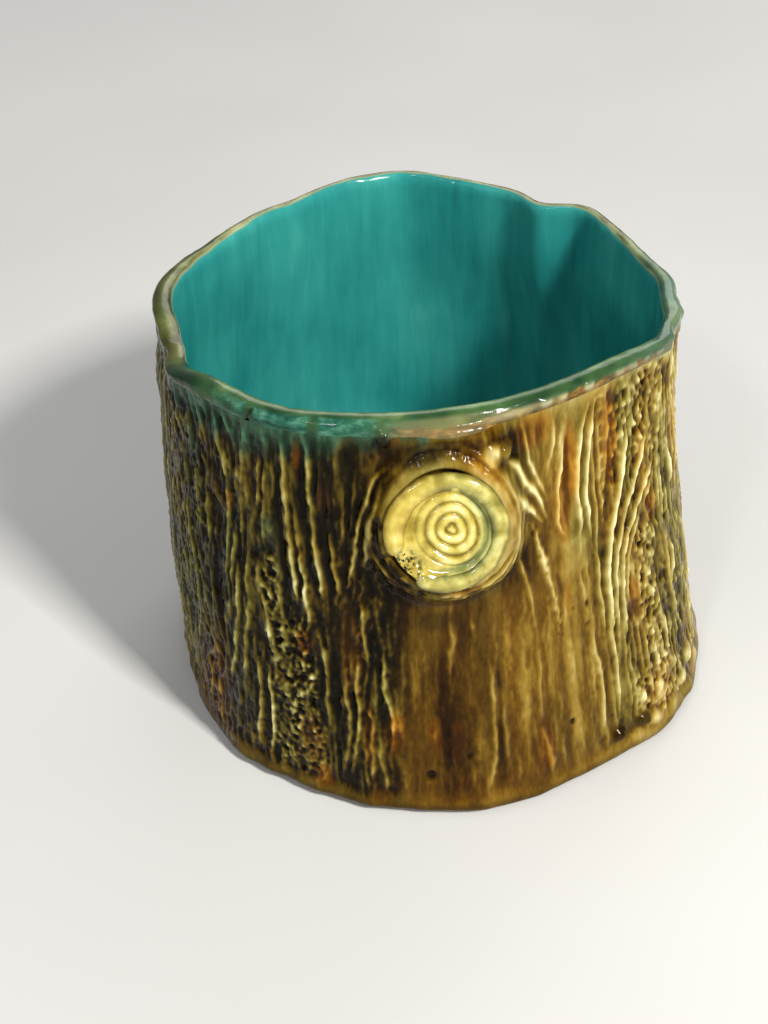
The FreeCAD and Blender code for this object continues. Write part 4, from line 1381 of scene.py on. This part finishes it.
def make_branch_face(material):
    """Sawn face with raised growth rings, slightly off centre, and a channel inside the coil on the right."""
    rings, spokes = 84, 180
    bearing, far = np.meshgrid(
        np.linspace(0, 2 * math.pi, spokes, endpoint=False), np.linspace(0.15, edge_coil_radius, rings),
    )
    x, y = far * np.cos(bearing), far * np.sin(bearing)
    from_ring = np.hypot(x - ring_centre_across, y - ring_centre_up)
    around_ring = np.arctan2(y - ring_centre_up, x - ring_centre_across)
    uneven = from_ring * (1 + 0.05 * np.sin(2 * around_ring + 0.7)) + 0.45 * np.sin(around_ring - 0.5)
    uneven += 0.25 * np.sin(3 * around_ring + 1)
    wave = np.abs(np.cos(np.pi * (uneven - 4.4) / ring_step)) ** 0.75
    wave = mixed(wave, 0.75, smooth(14.6, 16.4, uneven))
    softer = mixed(1, 0.55, smooth(0.2, 1, -np.cos(around_ring)) * smooth(8, 13, from_ring))
    right = smooth(-0.15, 0.65, np.cos(bearing + 0.35))
    channel = hump(far, 16.8, 1.7) * right
    notch = smooth(26, 8, np.abs(turn_from(np.degrees(bearing), coil_gap_direction))) * smooth(13, 20, far)
    lift = 0.7 + 1.25 * wave * softer - 1.6 * channel + 1.7 * smooth(16.5, 20, far) * (1 - right) - 2 * notch
    lift += 0.048 * np.sin(4 * x) * np.sin(3.4 * y)
    thin = 0.30 + 0.48 * wave * softer + 0.10 * (1 - softer) - 0.10 * channel
    fields = {
        "thin": np.clip(thin, 0, 1),
        "green": np.clip(0.7 * channel + 0.4 * smooth(12, 17, far) * smooth(0.3, 0.9, right), 0, 1),
        "amber": smooth(0.1, 0.9, -np.cos(bearing + 0.5)) * smooth(14, 20, far) * (1 - notch),
        "dark": np.clip(1.3 * notch, 0, 1),
    }
    mesh = grid_mesh("sawn_face", on_face(x, y, lift), fields=fields)
    add_piece(mesh, material, "yellow_glaze", "branch_face")


def make_branch_coil(material):
    """Roll of clay round the face, thicker at the upper left, with rounded ends at the lower left."""
    steps, sides, knots = 260, 28, 54
    share = np.linspace(0, 1, steps)[:, None]
    bearing = coil_gap_direction + 0.5 * coil_gap_width + (360 - coil_gap_width) * share
    arc = np.minimum(share, 1 - share) * math.radians(360 - coil_gap_width) * edge_coil_radius
    ends = np.sqrt(np.clip(1 - (1 - np.clip(arc / 4, 0, 1)) ** 2, 0, 1))
    draws = np.random.default_rng(7).uniform(-1, 1, (3, knots))
    lumpy, streaky, ragged = (np.interp(share, np.linspace(0, 1, knots), row) for row in draws)
    full = 1 + 0.14 * cosine(bearing - 140) + 0.05 * cosine(3 * bearing - 90)
    full += 0.035 * cosine(7 * bearing - 40) + 0.03 * lumpy
    thick = 0.5 * edge_coil_thickness * full * mixed(0.12, 1, ends)
    middle = edge_coil_radius - 1.1 - 0.5 * cosine(bearing - 140) + 0.2 * cosine(2 * bearing - 90)
    turns = np.linspace(0, 2 * math.pi, sides, endpoint=False)
    across, up = np.cos(turns), np.sin(turns)
    crease = cosine(4 * bearing - 70) * hump(across, 0.35, 0.22)
    far = middle + 1.35 * thick * across
    lift = 1 + 0.90 * thick * np.sign(up) * np.abs(up) ** 0.8 - 0.22 * crease * (up > 0)
    left = smooth(0, 1, cosine(bearing - 165)) + 0 * far
    thin = 0.22 + 0.48 * np.clip(up, 0, 1) ** 1.5 - 0.12 * crease
    thin = thin + 0.10 * cosine(5 * bearing - 50) * across + 0.08 * (streaky + ragged * across)
    outside = np.clip(across, 0, 1) * np.clip(0.4 - up, 0, 1)
    fields = {
        "thin": np.clip(thin - 0.5 * outside, 0, 1),
        "green": 0.40 * (1 - left) * (1 + np.clip(-across, 0, 1)),
        "amber": 0.50 * left + 0.6 * outside * (1 - left),
        "dark": 0.6 * hump(arc, 0, 3.5) + 0 * far,
    }
    points = on_face(far * cosine(bearing), far * np.sin(np.radians(bearing)), lift)
    mesh = grid_mesh("branch_coil", points, fields=fields)
    close_ring(mesh, 0, sides, True)
    close_ring(mesh, (steps - 1) * sides, sides, False)
    add_piece(mesh, material, "yellow_glaze", "branch_edge_coil")


# Stage, lights and camera

floor_reach = 6                            # metres from the middle to the edge
floor_lines = 24


def make_floor():
    line = np.linspace(-floor_reach, floor_reach, floor_lines)
    x, y = np.meshgrid(line, line)
    mesh = grid_mesh("floor", np.stack([x, y, 0 * x], axis=-1), closed_across=False)
    mesh.materials.append(floor_paint())
    add_object("floor", mesh)


# Area lights, all aimed at the pot: place and size in metres, power in watts, colour
light_aim = (0, 0, 0.12)
area_lights = {
    "key": ((1.11, -1.41, 1.64), (0.32, 0.32), 83, (1, 0.97, 0.92)),
    "second": ((-0.81, -1.70, 1.79), (0.24, 0.24), 11, (0.97, 0.98, 1)),
    "window": ((-1.54, -0.7, 1.77), (1.7, 1.3), 8, (0.97, 0.98, 1)),
    "back_fill": ((0.56, 2.1, 1.63), (2, 1.2), 26, (1, 1, 1)),
}


def light_scene():
    for name, (place, size, power, colour) in area_lights.items():
        lamp = bpy.data.lights.new(name, "AREA")
        lamp.shape = "RECTANGLE"
        lamp.size, lamp.size_y = size
        lamp.energy = power
        lamp.color = colour
        holder = add_object(name, lamp)
        holder.location = place
        holder.rotation_euler = (Vector(light_aim) - Vector(place)).to_track_quat("-Z", "Y").to_euler()
    world = bpy.data.worlds.new("studio")
    world.use_nodes = True
    background = world.node_tree.nodes["Background"]
    background.inputs["Color"].default_value = (1, 0.99, 0.97, 1)
    background.inputs["Strength"].default_value = 0.28
    bpy.context.scene.world = world


camera_height = 529.8
camera_side = -17.4
camera_distance = 626.4
camera_pitch = 36.21
camera_roll = -2.5
camera_focal = 52.73
camera_sensor = 36


def add_camera():
    data = bpy.data.cameras.new("photo_camera")
    data.lens = camera_focal
    data.sensor_width = camera_sensor
    data.clip_start = 0.01
    camera = add_object("photo_camera", data)
    place = Vector((camera_side * MM + axis_x, -camera_distance * MM + axis_y, camera_height * MM))
    look = Matrix.Rotation(math.radians(90 - camera_pitch), 4, "X")
    roll = Matrix.Rotation(math.radians(camera_roll), 4, "Z")
    camera.matrix_world = Matrix.Translation(place) @ look @ roll
    bpy.context.scene.camera = camera


def main():
    bark, yellow = bark_glaze(), yellow_glaze()
    last_ring, edge_ring = make_bark(bark)
    inner = make_lip(lip_glaze(), last_ring)
    make_bowl(turquoise_glaze(), inner)
    make_underside(bark, edge_ring)
    make_foot(bare_clay())
    make_branch_face(yellow)
    make_branch_coil(yellow)
    make_floor()
    light_scene()
    add_camera()
    bpy.context.scene.view_settings.view_transform = "Standard"


main()
